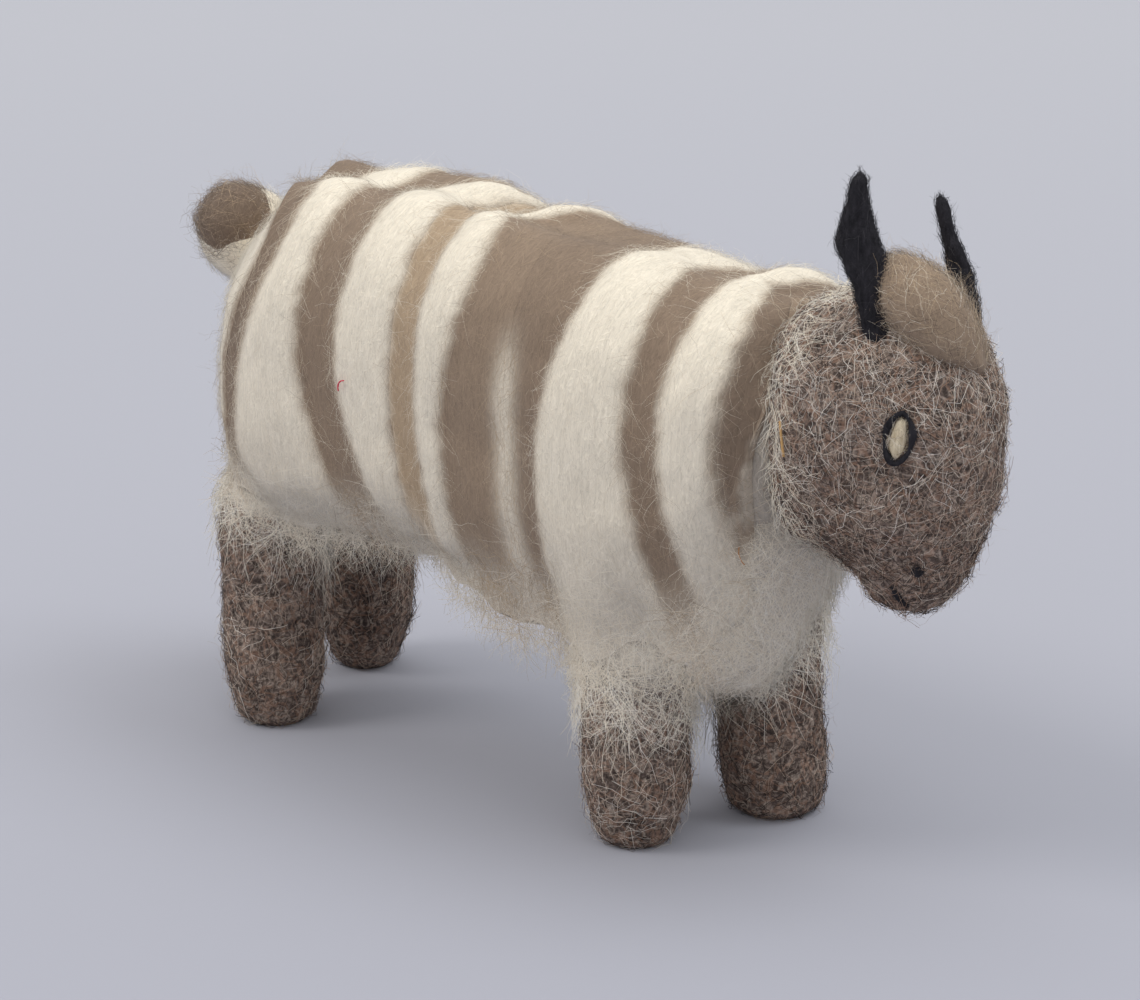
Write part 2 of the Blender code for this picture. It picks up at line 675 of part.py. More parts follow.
def make_eye(head, side_name, side):
    frame = on_head(EYE_HEIGHT, side * EYE_ANGLE, EYE_POCKET, side * EYE_TILT)
    rim_wide = EYE_WIDE + 2 * EYE_RIM + 2 * ROOT_GAP
    rim_tall = EYE_TALL + 2 * EYE_RIM + 2 * ROOT_GAP
    pocket_wide = rim_wide + 2 * EYE_RIM + 2 * ROOT_GAP
    pocket_tall = rim_tall + 2 * EYE_RIM + 2 * ROOT_GAP
    cut(head, oval_pocket(f"eye_pocket_{side_name}", frame, pocket_wide, pocket_tall, 0.0))
    seat = frame @ Matrix.Translation((0, 0, EYE_RIM + ROOT_GAP))
    rolled_rim(f"eye_rim_{side_name}", "black_felt", seat, rim_wide, rim_tall, EYE_RIM)
    oval_solid(f"eye_pellet_{side_name}", "eye_wool", seat, EYE_WIDE, EYE_TALL, EYE_RIM)


def make_nose(head, side_name, side):
    frame = on_head(NOSTRIL_HEIGHT, side * NOSTRIL_ANGLE, 0.0)
    wide = 2 * NOSTRIL_RADIUS
    oval_solid(f"nostril_{side_name}", "black_felt", frame, wide, wide, NOSTRIL_DEPTH)
    room = 2 * (NOSTRIL_RADIUS + ROOT_GAP)
    cut(head, oval_pocket(f"nostril_pocket_{side_name}", frame, room, room, NOSTRIL_DEPTH + ROOT_GAP))
    stitch(f"mouth_stitch_{side_name}", "black_felt", side, MOUTH_RADIUS)
    cut(head, stitch(f"mouth_groove_{side_name}", None, side, MOUTH_RADIUS + ROOT_GAP))


clear_scene()
core, rump, chest = make_body()
make_tail(core, rump)
make_head(core, chest)
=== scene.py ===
import math
from functools import partial

import bmesh
import bpy
import numpy as np
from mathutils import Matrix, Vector, noise


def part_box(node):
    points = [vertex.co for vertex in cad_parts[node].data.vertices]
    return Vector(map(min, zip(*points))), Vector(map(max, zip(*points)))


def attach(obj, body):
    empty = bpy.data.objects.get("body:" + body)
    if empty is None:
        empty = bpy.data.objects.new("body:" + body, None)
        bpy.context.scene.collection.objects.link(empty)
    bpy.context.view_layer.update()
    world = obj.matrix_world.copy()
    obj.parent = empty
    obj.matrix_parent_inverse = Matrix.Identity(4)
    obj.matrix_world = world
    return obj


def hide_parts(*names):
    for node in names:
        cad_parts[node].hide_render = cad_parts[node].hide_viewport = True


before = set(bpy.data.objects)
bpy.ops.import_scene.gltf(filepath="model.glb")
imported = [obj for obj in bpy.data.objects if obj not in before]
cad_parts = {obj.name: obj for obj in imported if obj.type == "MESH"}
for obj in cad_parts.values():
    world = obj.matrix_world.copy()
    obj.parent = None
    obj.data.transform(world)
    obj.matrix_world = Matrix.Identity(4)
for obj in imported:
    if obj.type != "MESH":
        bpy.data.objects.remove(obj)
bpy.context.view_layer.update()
mm = 0.001
print("frame loaded:", len(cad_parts), "nodes")


# Small helpers

def paint(red, green, blue):
    # screen colour, 0 to 255, to the linear values that shaders take
    def linear(value):
        value /= 255
        return value / 12.92 if value <= 0.04045 else ((value + 0.055) / 1.055) ** 2.4
    return (linear(red), linear(green), linear(blue), 1.0)


def mix(first, second, share):
    return first + (second - first) * share


def ease(low, high, value):
    share = np.clip((value - low) / (high - low), 0.0, 1.0)
    return share * share * (3 - 2 * share)


def unit(vectors):
    return vectors / np.maximum(np.linalg.norm(vectors, axis=-1, keepdims=True), 1e-9)


def xyz(*parts):
    # points from their coordinates, which are numbers or arrays
    return np.stack(np.broadcast_arrays(*parts), -1)


def fullTurn(sides):
    return np.arange(sides) * 2 * math.pi / sides


def rounded(value, power):
    # cosine or sine, squared off by a power
    return np.sign(value) * abs(value) ** (2 / power)


def bumpy(points, size, seed):
    # smooth noise, about -1 to 1, at every point of an array of any shape
    flat = np.asarray(points, float).reshape(-1, 3) / size
    shift = Vector((seed * 7.3, seed * 3.1, seed * 5.7))
    values = [noise.noise(Vector(p) + shift) for p in flat]
    return np.array(values).reshape(np.shape(points)[:-1])


def flowThrough(places, values, at):
    # smooth curve through a few values, level past its ends
    places, values, at = (np.asarray(a, float) for a in (places, values, at))
    at = np.clip(at, places[0], places[-1])
    slopes = np.gradient(values, places)
    k = np.clip(np.searchsorted(places, at) - 1, 0, len(places) - 2)
    width = places[k + 1] - places[k]
    t = (at - places[k]) / width
    return (values[k] * (1 + 2 * t) * (1 - t) ** 2 + values[k + 1] * t * t * (3 - 2 * t)
            + slopes[k] * width * t * (1 - t) ** 2 + slopes[k + 1] * width * t * t * (t - 1))


def nodePoints(name):
    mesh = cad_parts[name].data
    flat = np.zeros(len(mesh.vertices) * 3, np.float32)
    mesh.vertices.foreach_get("co", flat)
    return flat.reshape(-1, 3).astype(float) / mm


def nodeBox(name):
    return [np.array(corner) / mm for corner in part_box(name)]


def nodeRings(name):
    # centre and radius of each level ring of a turned CAD solid, low to high
    points = nodePoints(name)
    rings = []
    for height in np.unique(points[:, 2].round(2)):
        level = points[abs(points[:, 2] - height) < 0.02]
        low, high = level.min(0), level.max(0)
        rings.append([*((low + high) / 2)[:2], height, (high[1] - low[1]) / 2])
    return np.array(rings)


def nodeFrame(name):
    # centre of a flat CAD pellet, its axes from the longest to the shortest, and its half sizes along them
    points = np.unique(nodePoints(name).round(3), axis=0)
    centre = (points.min(0) + points.max(0)) / 2
    axes = np.linalg.svd(points - points.mean(0), full_matrices=False)[2]
    if axes[2] @ [0.6, centre[1], 0] < 0:
        axes[2] = -axes[2]
    if axes[0][2] < 0:
        axes[0] = -axes[0]
    axes[1] = np.cross(axes[2], axes[0])
    return centre, axes, np.array([abs((points - centre) @ axis).max() for axis in axes])


# Meshes

def makeObject(name, points, faces, outward=True):
    mesh = bpy.data.meshes.new(name)
    mesh.from_pydata([tuple(p) for p in np.asarray(points).reshape(-1, 3) * mm], [], faces)
    if outward:
        edit = bmesh.new()
        edit.from_mesh(mesh)
        bmesh.ops.recalc_face_normals(edit, faces=edit.faces)
        edit.to_mesh(mesh)
        edit.free()
    mesh.shade_smooth()
    return addObject(name, mesh)


def addObject(name, data):
    made = bpy.data.objects.new(name, data)
    bpy.context.scene.collection.objects.link(made)
    return made


def quads(rows, cols, ringed=False, shut=False):
    # faces of a grid of points: ringed if each row is a closed ring, shut if the last row meets the first
    faces = []
    for i in range(rows if shut else rows - 1):
        for j in range(cols if ringed else cols - 1):
            n, k = (i + 1) % rows, (j + 1) % cols
            faces.append((i * cols + j, i * cols + k, n * cols + k, n * cols + j))
    return faces


def loft(name, rings, start=None, end=None):
    # skin over closed rings of points, with a pole or a flat face at each end
    rings = np.asarray(rings)
    count, sides = rings.shape[:2]
    points, faces = list(rings.reshape(-1, 3)), quads(count, sides, ringed=True)
    for first, pole in ((0, start), ((count - 1) * sides, end)):
        if pole is None:
            faces.append(tuple(range(first, first + sides)))
            continue
        points.append(np.asarray(pole, float))
        faces += [(first + j, first + (j + 1) % sides, len(points) - 1) for j in range(sides)]
    return makeObject(name, points, faces)


def circle(sides):
    turns = fullTurn(sides)
    return xyz(np.cos(turns), np.sin(turns), 0 * turns)


def circleRings(centres, radii, sides):
    return np.asarray(centres)[:, None] + np.asarray(radii)[:, None, None] * circle(sides)[None]


def ballRings(radii, levels, sides):
    turns = math.pi * (np.arange(levels) + 0.5) / levels - math.pi / 2
    centres = [(0, 0, math.sin(t)) for t in turns]
    return circleRings(centres, np.cos(turns), sides) * np.asarray(radii)


def outOf(grid):
    # outward normals of a grid of closed rings
    around = np.roll(grid, -1, axis=1) - np.roll(grid, 1, axis=1)
    normals = unit(np.cross(around, np.gradient(grid, axis=0)))
    middle = grid.mean(axis=(0, 1))
    return normals if (normals * (grid - middle)).sum() > 0 else -normals


def swell(grid, amount, size, seed):
    return grid + outOf(grid) * (amount * bumpy(grid, size, seed))[..., None]


def combTo(grid, direction):
    # lay along the surface, as near to a direction as it allows
    normals = outOf(grid)
    wanted = np.broadcast_to(np.asarray(direction, float), grid.shape)
    return wanted - normals * (normals * wanted).sum(-1, keepdims=True)


def scalp(name, grid, lay, out, **painted):
    # open sheet that the fibres grow from, with the lay of the wool and other values at its points
    faces = quads(*grid.shape[:2])
    across = np.cross(np.gradient(grid, axis=1), np.gradient(grid, axis=0))
    if (across * out).sum() < 0:
        faces = [face[::-1] for face in faces]
    piece = makeObject(name + "_scalp", grid, faces, outward=False)
    flow = piece.data.attributes.new("lay", "FLOAT_VECTOR", "POINT")
    flow.data.foreach_set("vector", unit(lay).astype(np.float32).ravel())
    for key, values in {"shag": 1.0, "fringe": 0.0, "reach": 1.0, "tint": 0.0, **painted}.items():
        layer = piece.data.attributes.new(key, "FLOAT", "POINT")
        full = np.broadcast_to(np.asarray(values, float), grid.shape[:2])
        layer.data.foreach_set("value", full.astype(np.float32).ravel())
    return piece


def shutGrid(values, axis=1):
    # a grid with its first row or column repeated at the end
    return np.concatenate([values, np.take(values, [0], axis)], axis)


def roundScalp(name, grid, lay, **painted):
    # scalp all round a grid of closed rings
    for key, values in painted.items():
        painted[key] = shutGrid(np.broadcast_to(np.asarray(values, float), grid.shape[:2]))
    return scalp(name, shutGrid(grid), shutGrid(lay), shutGrid(outOf(grid)), **painted)


grounds = {}


def settle(piece, node=None):
    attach(piece, "root")
    if node:
        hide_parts(node)
        grounds[node] = piece
    return piece


# Node trees

def addNode(tree, kind, inputs=(), **options):
    made = tree.nodes.new(kind)
    for key, value in options.items():
        setattr(made, key, value)
    for key, value in dict(inputs).items():
        if isinstance(value, bpy.types.NodeSocket):
            tree.links.new(value, made.inputs[key])
        else:
            made.inputs[key].default_value = value
    return made


def takeNode(tree, kind, inputs=(), output=0, **options):
    return addNode(tree, kind, inputs, **options).outputs[output]


def calc(tree, operation, *values):
    return takeNode(tree, "ShaderNodeMath", enumerate(values), operation=operation)


def vectorCalc(tree, operation, *values):
    return takeNode(tree, "ShaderNodeVectorMath", enumerate(values), operation=operation)


def scaled(tree, vector, amount):
    return takeNode(tree, "ShaderNodeVectorMath", {0: vector, "Scale": amount}, operation="SCALE")


def dot(tree, first, second):
    return takeNode(tree, "ShaderNodeVectorMath", {0: first, 1: second}, "Value", operation="DOT_PRODUCT")


def mapRange(tree, value, low, high, newLow=0.0, newHigh=1.0):
    return takeNode(tree, "ShaderNodeMapRange", {0: value, 1: low, 2: high, 3: newLow, 4: newHigh})


def cloud(tree, place, detail, scale=1.0, distortion=0.0, output=0):
    inputs = {"Vector": place, "Scale": scale, "Detail": detail, "Distortion": distortion}
    return takeNode(tree, "ShaderNodeTexNoise", inputs, output)


def readValue(tree, name, kind="FLOAT"):
    return takeNode(tree, "GeometryNodeInputNamedAttribute", {"Name": name}, data_type=kind)


def keepValue(tree, geometry, name, value, kind="FLOAT", domain="POINT"):
    inputs = {"Geometry": geometry, "Name": name, "Value": value}
    return takeNode(tree, "GeometryNodeStoreNamedAttribute", inputs, data_type=kind, domain=domain)


def newTree(name, sockets, output):
    # node group with its inputs and the geometry it gives back
    tree = bpy.data.node_groups.new(name, "GeometryNodeTree")
    for label, kind in sockets.items():
        tree.interface.new_socket(label, in_out="INPUT", socket_type="NodeSocket" + kind)
    tree.interface.new_socket(output, in_out="OUTPUT", socket_type="NodeSocketGeometry")
    return tree, addNode(tree, "NodeGroupInput").outputs


# Every size a layer of strands has: millimetres, strands per square millimetre, radians and shares
plainStrand = {
    "where": "shag", "density": 1.0, "length": 9.0, "uneven": 0.4, "width": 0.07, "taper": 0.6, "lift": 0.7,
    "bow": 0.8, "curl": 2.6, "curlSize": 3.6, "stray": 0.45, "drift": 0.8, "driftSize": 12.0, "droop": 0.0,
    "tone": 0.6, "toneSpread": 0.16, "soft": 0.8, "points": 5, "seed": 0,
}
inMetres = dict.fromkeys(("length", "width", "lift", "curl", "curlSize", "driftSize", "droop"), mm)
inMetres["density"] = 1 / mm ** 2
socketKinds = {str: "String", int: "Int", float: "Float"}
# What all layers share: thickness from strand to strand, spread of their curls, how early they curl,
# clearance over the floor, sides of a tube, and the span and edges of a tube in its map
everyStrand = {"thick": (0.55, 1.3), "phases": 90.0, "curlPower": 0.6, "sagPower": 2.0, "lowest": 0.2,
               "sides": 3, "mapSpan": 0.012, "mapLow": 0.01, "mapHigh": 0.98}


def strandTree():
    # one layer of fibres that grow along the lay of a scalp and follow its surface
    sockets = {label: socketKinds[type(value)] for label, value in plainStrand.items()}
    tree, given = newTree("strandLayer", {"scalp": "Geometry", **sockets}, "fibres")
    skin, seed, every = given["scalp"], given["seed"], everyStrand
    take, read, keep, scale = (partial(tool, tree) for tool in (takeNode, readValue, keepValue, scaled))
    times, plus, less, power, timesPlus = (
        partial(calc, tree, name) for name in ("MULTIPLY", "ADD", "SUBTRACT", "POWER", "MULTIPLY_ADD"))
    join, part, divide = (partial(vectorCalc, tree, name) for name in ("ADD", "SUBTRACT", "DIVIDE"))

    def draw(low, high, turn):
        inputs = {2: low, 3: high, "Seed": plus(seed, turn)}
        return take("FunctionNodeRandomValue", inputs, "Value", data_type="FLOAT")

    # roots, and which way each strand points
    density = times(given["density"], read(given["where"]))
    spread = {"Mesh": skin, "Density": density, "Seed": seed}
    roots = addNode(tree, "GeometryNodeDistributePointsOnFaces", spread).outputs
    place = take("GeometryNodeInputPosition")
    swirl = cloud(tree, divide(place, given["driftSize"]), 1.0)
    angle = timesPlus(draw(-1.0, 1.0, 1), given["stray"], times(less(swirl, 0.5), given["drift"]))
    aim = {"Vector": read("lay", "FLOAT_VECTOR"), "Axis": roots["Normal"], "Angle": angle}
    axes = {"Primary Axis": roots["Normal"],
            "Secondary Axis": take("ShaderNodeVectorRotate", aim, rotation_type="AXIS_ANGLE")}
    turn = take("FunctionNodeAxesToRotation", axes, primary_axis="Z", secondary_axis="X")
    uneven = draw(less(1.0, given["uneven"]), plus(1.0, given["uneven"]), 2)
    length = times(uneven, times(given["length"], read("reach")))
    chance = draw(-1.0, 1.0, 3)
    rare = times(chance, calc(tree, "ABSOLUTE", chance))
    tone = timesPlus(rare, given["toneSpread"], plus(given["tone"], read("tint")))
    points = keep(roots["Points"], "tone", tone)
    points = keep(points, "thick", draw(*every["thick"], 4))
    points = keep(points, "phase", draw(0.0, every["phases"], 5))

    # strands, held to the skin and curled
    line = take("GeometryNodeCurvePrimitiveLine", {"End": (1.0, 0.0, 0.0)})
    line = take("GeometryNodeResampleCurve", {"Curve": line, "Count": given["points"]})
    laid = {"Points": points, "Instance": line, "Rotation": turn, "Scale": length}
    strands = take("GeometryNodeRealizeInstances", {"Geometry": take("GeometryNodeInstanceOnPoints", laid)})
    along = take("GeometryNodeSplineParameter", output="Factor")
    strands = keep(strands, "along", along)
    near = take("GeometryNodeProximity", {0: skin}, "Position", target_element="FACES")
    own = take("GeometryNodeInputNormal")
    up = take("GeometryNodeSampleNearestSurface", {"Mesh": skin, "Value": own}, data_type="FLOAT_VECTOR")
    held = part(place, scale(up, dot(tree, part(place, near), up)))
    thick = read("thick")
    rise = times(power(along, given["bow"]), times(given["lift"], thick))
    wave = cloud(tree, join(divide(place, given["curlSize"]), read("phase")), 1.0, output="Color")
    curl = times(power(along, every["curlPower"]), given["curl"])
    offset = join(scale(part(wave, (0.5, 0.5, 0.5)), curl), scale(up, rise))
    sag = times(given["droop"], power(along, every["sagPower"]))
    offset = join(offset, scale((0.0, 0.0, -1.0), sag))
    spot = vectorCalc(tree, "MAXIMUM", join(held, offset), (-1.0, -1.0, every["lowest"] * mm))
    strands = take("GeometryNodeSetPosition", {"Geometry": strands, "Position": spot})

    # thin tapered tubes, each with its tone and its length in its own map
    profile = take("GeometryNodeCurvePrimitiveCircle", {"Resolution": every["sides"], "Radius": 1.0})
    profile = keep(profile, "round", along)
    taper = less(1.0, times(given["taper"], along))
    radius = times(times(given["width"], thick), times(taper, 0.5))
    tube = {"Curve": strands, "Profile Curve": profile, "Scale": radius, "Fill Caps": True}
    tubes = take("GeometryNodeCurveToMesh", tube)
    hue = timesPlus(read("round"), every["mapSpan"], read("tone"))
    hue = take("ShaderNodeClamp", {0: hue, 1: every["mapLow"], 2: every["mapHigh"]})
    run = timesPlus(read("along"), every["mapHigh"], every["mapLow"])
    tubes = keep(tubes, "OFBake", take("ShaderNodeCombineXYZ", {0: hue, 1: run}), "FLOAT2", "CORNER")

    # soft shading, part way from the tube's own normal to the skin's
    blended = take("ShaderNodeMix", {0: given["soft"], 4: own, 5: up}, 1, data_type="VECTOR")
    shaded = {"Mesh": tubes, "Custom Normal": vectorCalc(tree, "NORMALIZE", blended)}
    tubes = take("GeometryNodeSetMeshNormal", shaded, mode="FREE", domain="POINT")
    addNode(tree, "NodeGroupOutput", {"fibres": tubes})
    return tree


strandLayer = strandTree()


def coatTree(name, *layers):
    # several layers of strands, joined and given one wool
    sockets = {"scalp": "Geometry", "seed": "Int", "thickness": "Float", "wool": "Material"}
    tree, given = newTree(name, sockets, "coat")
    together = addNode(tree, "GeometryNodeJoinGeometry")
    for index, changes in enumerate(layers):
        layer = {**plainStrand, **changes}
        inputs = {label: value * inMetres.get(label, 1) for label, value in layer.items()}
        inputs["density"] = calc(tree, "MULTIPLY", given["thickness"], inputs["density"])
        inputs["seed"] = calc(tree, "ADD", given["seed"], 20 * index)
        inputs["scalp"] = given["scalp"]
        grown = addNode(tree, "GeometryNodeGroup", inputs, node_tree=strandLayer)
        tree.links.new(grown.outputs[0], together.inputs[0])
    real = takeNode(tree, "GeometryNodeRealizeInstances", {"Geometry": together.outputs[0]})
    done = takeNode(tree, "GeometryNodeSetMaterial", {"Geometry": real, "Material": given["wool"]})
    addNode(tree, "NodeGroupOutput", {"coat": done})
    return tree


triangleTotal = {"fibres": 0}
spentValues = ("lay", "tint", "shag", "fringe", "reach", "tone", "thick", "phase", "along", "round")


def growCoat(name, root, tree, wool, seed, thickness=1.0, loose=True):
    # fibres of one piece, made plain mesh and set on the body; the scalp is dropped
    modifier = root.modifiers.new("coat", "NODES")
    modifier.node_group = tree
    sockets = {item.name: item.identifier for item in tree.interface.items_tree}
    for key, value in (("seed", seed), ("thickness", thickness), ("wool", wools[wool])):
        modifier[sockets[key]] = value
    graph = bpy.context.evaluated_depsgraph_get()
    graph.update()
    grown = root.evaluated_get(graph)
    mesh = bpy.data.meshes.new_from_object(grown, preserve_all_data_layers=True, depsgraph=graph)
    mesh.name = name
    for key in spentValues:
        if key in mesh.attributes:
            mesh.attributes.remove(mesh.attributes[key])
    piece = addObject(name, mesh)
    piece.visible_diffuse = False
    piece.visible_shadow = not loose           # light passes through loose wool
    bpy.data.objects.remove(root, do_unlink=True)
    count = sum(len(polygon.vertices) - 2 for polygon in mesh.polygons)
    triangleTotal["fibres"] += count
    print(f"  {name}: {count} triangles")
    return settle(piece)


def coatRings(name, rings, direction, tree, wool, slot, seed, thickness=1.0, loose=True, **painted):
    # fibres all round a grid of closed rings, combed one way
    root = roundScalp(name, rings, combTo(rings, direction), **painted)
    return growCoat(name, root, tree, wool, seed, thickness, loose)


# Materials

woolSet = {"fibreRough": 0.85, "groundRough": 0.95, "specular": 0.15, "streaks": 0.6, "clouds": 0.4,
           "relief": (0.5, 0.4), "hairDetail": 1.5, "hairBend": 0.7, "hairThin": 0.05, "hairShift": 3.7}


def ramp(tree, factor, stops):
    made = addNode(tree, "ShaderNodeValToRGB", {0: factor})
    while len(made.color_ramp.elements) < len(stops):
        made.color_ramp.elements.new(0.5)
    for element, (place, colour) in zip(made.color_ramp.elements, stops):
        element.position = place
        element.color = paint(*colour)
    return made.outputs[0]


def blend(tree, share, first, second, way="MIX"):
    inputs = {0: share, 6: first, 7: second}
    return takeNode(tree, "ShaderNodeMix", inputs, 2, data_type="RGBA", blend_type=way)


def shaderOf(name, roughness, sheen):
    material = bpy.data.materials.new(name)
    material.use_nodes = True
    shader = material.node_tree.nodes["Principled BSDF"]
    shader.inputs["Roughness"].default_value = roughness
    shader.inputs["Sheen Weight"].default_value = sheen
    shader.inputs["Specular IOR Level"].default_value = woolSet["specular"]
    return material, material.node_tree, shader


def finishShader(tree, shader, colour, height=None, strength=0.0, distance=0.0):
    tree.links.new(colour, shader.inputs["Base Color"])
    if height is not None:
        inputs = {"Strength": strength, "Distance": distance * mm, "Height": height}
        tree.links.new(takeNode(tree, "ShaderNodeBump", inputs), shader.inputs["Normal"])


def fibreWool(name, stops, paintedRootShade, sheen):
    # tone of each strand from its own map, painted a little darker towards its root for the shade deeper in
    # the wool
    material, tree, shader = shaderOf(name, woolSet["fibreRough"], sheen)
    uv = takeNode(tree, "ShaderNodeUVMap", uv_map="OFBake")
    parts = addNode(tree, "ShaderNodeSeparateXYZ", {0: uv}).outputs
    shade = calc(tree, "MULTIPLY_ADD", parts[1], 1 - paintedRootShade, paintedRootShade)
    finishShader(tree, shader, blend(tree, 1.0, ramp(tree, parts[0], stops), shade, "MULTIPLY"))
    return material


def stretched(tree, place, sizes, shift=0.0):
    scale = tuple(1 / (size * mm) for size in sizes)
    inputs = {"Vector": place, "Location": (shift, shift, shift), "Scale": scale}
    return takeNode(tree, "ShaderNodeMapping", inputs)


def hairLines(tree, place, sizes, shift):
    # thin curly lines, 1 on a line and 0 beside it
    place = stretched(tree, place, sizes, shift)
    waves = cloud(tree, place, woolSet["hairDetail"], distortion=woolSet["hairBend"])
    apart = calc(tree, "ABSOLUTE", calc(tree, "SUBTRACT", waves, 0.5))
    return mapRange(tree, apart, 0.0, woolSet["hairThin"], 1.0, 0.0)


def packedWool(name, stops, grain, sizes, patches, hairs=()):
    # matted ground under the fibres: fine streaks or tangles over larger soft patches, crossed by hairs
    material, tree, shader = shaderOf(name, woolSet["groundRough"], 0.0)
    place = takeNode(tree, "ShaderNodeTexCoord", output="Object")
    streaks = cloud(tree, stretched(tree, place, sizes), 3.0)
    clouds = cloud(tree, place, 2.0, 1 / (patches * mm))
    clouds = calc(tree, "MULTIPLY", clouds, woolSet["clouds"])
    colour = ramp(tree, calc(tree, "MULTIPLY_ADD", streaks, woolSet["streaks"], clouds), stops)
    for turn, (size, shade, amount) in enumerate(hairs):
        line = hairLines(tree, place, (size, size, size), woolSet["hairShift"] * turn)
        line = calc(tree, "MULTIPLY", line, amount)
        colour = blend(tree, line, colour, paint(*shade))
    tangles = cloud(tree, place, 2.0, 1 / (grain * mm))
    finishShader(tree, shader, colour, calc(tree, "ADD", streaks, tangles), *woolSet["relief"])
    return material


combing = {"streak": (0.3, 4.0, 4.0), "paleHairs": (1.2, 3.2, 3.2), "darkHairs": (0.9, 2.4, 2.4),
           "patch": 6.0, "low": 0.84, "high": 1.0, "pale": 0.1, "dark": -0.12, "cloud": 0.12,
           "between": (0.3, 0.7), "bend": 0.9, "darkShift": 5.3, "relief": (0.25, 0.25), "sheen": 0.1}


def combedGround(name):
    # soft wool under the fibres, in the colours kept on the mesh, drawn over with fine wavy hairs
    material, tree, shader = shaderOf(name, woolSet["groundRough"], combing["sheen"])
    place = takeNode(tree, "ShaderNodeTexCoord", output="Object")
    streaks = cloud(tree, stretched(tree, place, combing["streak"]), 3.0, distortion=combing["bend"])
    clouds = cloud(tree, place, 2.0, 1 / (combing["patch"] * mm))
    paleLine = hairLines(tree, place, combing["paleHairs"], 0.0)
    darkLine = hairLines(tree, place, combing["darkHairs"], combing["darkShift"])
    shade = mapRange(tree, streaks, *combing["between"], combing["low"], combing["high"])
    clouds = calc(tree, "SUBTRACT", clouds, 0.5)
    for layer, amount in ((clouds, "cloud"), (paleLine, "pale"), (darkLine, "dark")):
        shade = calc(tree, "MULTIPLY_ADD", layer, combing[amount], shade)
    kept = takeNode(tree, "ShaderNodeAttribute", output="Color", attribute_name="wool")
    height = calc(tree, "ADD", streaks, paleLine)
    finishShader(tree, shader, scaled(tree, kept, shade), height, *combing["relief"])
    return material


def clad(piece, wool):
    piece.data.materials.append(wools[wool])
    return piece


def dye(piece, colours):
    # linear colours kept at the points of a ground, painted with its combed wool
    full = np.ones((len(piece.data.vertices), 4), np.float32)
    flat = np.asarray(colours).reshape(-1, 3)
    full[:len(flat), :3] = flat
    full[len(flat):, :3] = flat[-1]
    piece.data.attributes.new("wool", "FLOAT_COLOR", "POINT").data.foreach_set("color", full.ravel())
    return clad(piece, "combedGround")


dyes = {key: np.array(paint(*colour)[:3]) for key, colour in {
    "cream": (243, 233, 214), "grey": (190, 180, 167), "brown": (108, 95, 88), "taupeDark": (124, 107, 93),
    "taupe": (158, 138, 118), "taupePale": (190, 167, 139)}.items()}
# tones from dark to pale, painted shade at the root and sheen
fibres = {
    "creamFibre": (((0.0, (108, 92, 77)), (0.12, (166, 150, 130)), (0.35, (224, 209, 186)),
                    (0.62, (246, 236, 217)), (1.0, (255, 251, 241))), 0.93, 0.1),
    "taupeFibre": (((0.0, (88, 74, 64)), (0.3, (132, 114, 99)), (0.55, (168, 147, 125)),
                    (0.78, (198, 174, 143)), (1.0, (246, 236, 219))), 0.92, 0.1),
    "coarseFibre": (((0.0, (52, 44, 41)), (0.2, (92, 79, 71)), (0.38, (140, 121, 109)),
                     (0.52, (170, 137, 115)), (0.66, (196, 176, 158)), (0.82, (224, 209, 191)),
                     (1.0, (250, 243, 233))), 0.82, 0.0),
    "blackFibre": (((0.0, (24, 24, 27)), (0.7, (52, 51, 56)), (1.0, (92, 88, 90))), 0.85, 0.0),
    "strawFibre": (((0.0, (152, 132, 102)), (0.5, (218, 203, 174)), (1.0, (246, 238, 218))), 0.85, 0.0),
}
# tones, size of the grain, streaks and patches, and the hairs across them
packed = {
    "coarseGround": (((0.3, (40, 34, 32)), (0.5, (102, 89, 82)), (0.7, (172, 153, 139))), 0.5,
                     (0.8, 0.8, 0.8), 5,
                     ((2.2, (204, 187, 171), 0.5), (1.4, (44, 37, 35), 0.6), (3.0, (168, 130, 107), 0.45))),
    "blackGround": (((0.3, (20, 20, 23)), (0.7, (56, 54, 59))), 0.3, (0.6, 0.6, 2.5), 3),
    "strawGround": (((0.3, (186, 167, 136)), (0.7, (236, 224, 198))), 0.25, (0.3, 0.3, 2.0), 2),
}
wools = {name: fibreWool(name, *given) for name, given in fibres.items()}
wools.update({name: packedWool(name, *given) for name, given in packed.items()})
wools["combedGround"] = combedGround("combedGround")


# Camera, floor and light

view = {"azimuth": 43.2, "elevation": 17.3, "distance": 635.0, "aim": (1.8, 0.0, 52.8), "lens": 110.5,
        "sensor": 36.0, "clip": (0.01, 20.0)}
# floor colours, painted darker near the camera and paler far off for the fall of the light
stageSet = {"near": (170, 171, 181), "far": (178, 179, 186), "nearAt": -150.0, "farAt": 800.0,
            "reach": 2600.0, "bend": 500.0, "height": 700.0, "steps": 12, "sides": 64}
cool, warm = (0.94, 0.97, 1.0), (1.0, 0.97, 0.93)
lights = {
    "skyLow": 0.4, "skyHigh": 1.04,        # soft room light at the horizon and straight overhead
    # strength, spread in degrees, the way to each soft lamp and its colour
    "lamps": {"topLamp": (0.32, 45.0, (0.0, 0.1, 1.0), cool),
              "leftLamp": (0.75, 22.0, (-0.42, -0.55, 0.72), warm),
              "rightLamp": (0.6, 30.0, (0.42, 0.3, 0.86), cool)},
}


def setCamera():
    turn, rise = math.radians(view["azimuth"]), math.radians(view["elevation"])
    back = Vector((math.sin(turn) * math.cos(rise), -math.cos(turn) * math.cos(rise), math.sin(rise)))
    lens = bpy.data.cameras.new("camera")
    lens.lens, lens.sensor_width, lens.sensor_fit = view["lens"], view["sensor"], "HORIZONTAL"
    lens.clip_start, lens.clip_end = view["clip"]
    camera = addObject("camera", lens)
    camera.location = (Vector(view["aim"]) + back * view["distance"]) * mm
    camera.rotation_euler = (math.pi / 2 - rise, 0.0, turn)
    bpy.context.scene.camera = camera


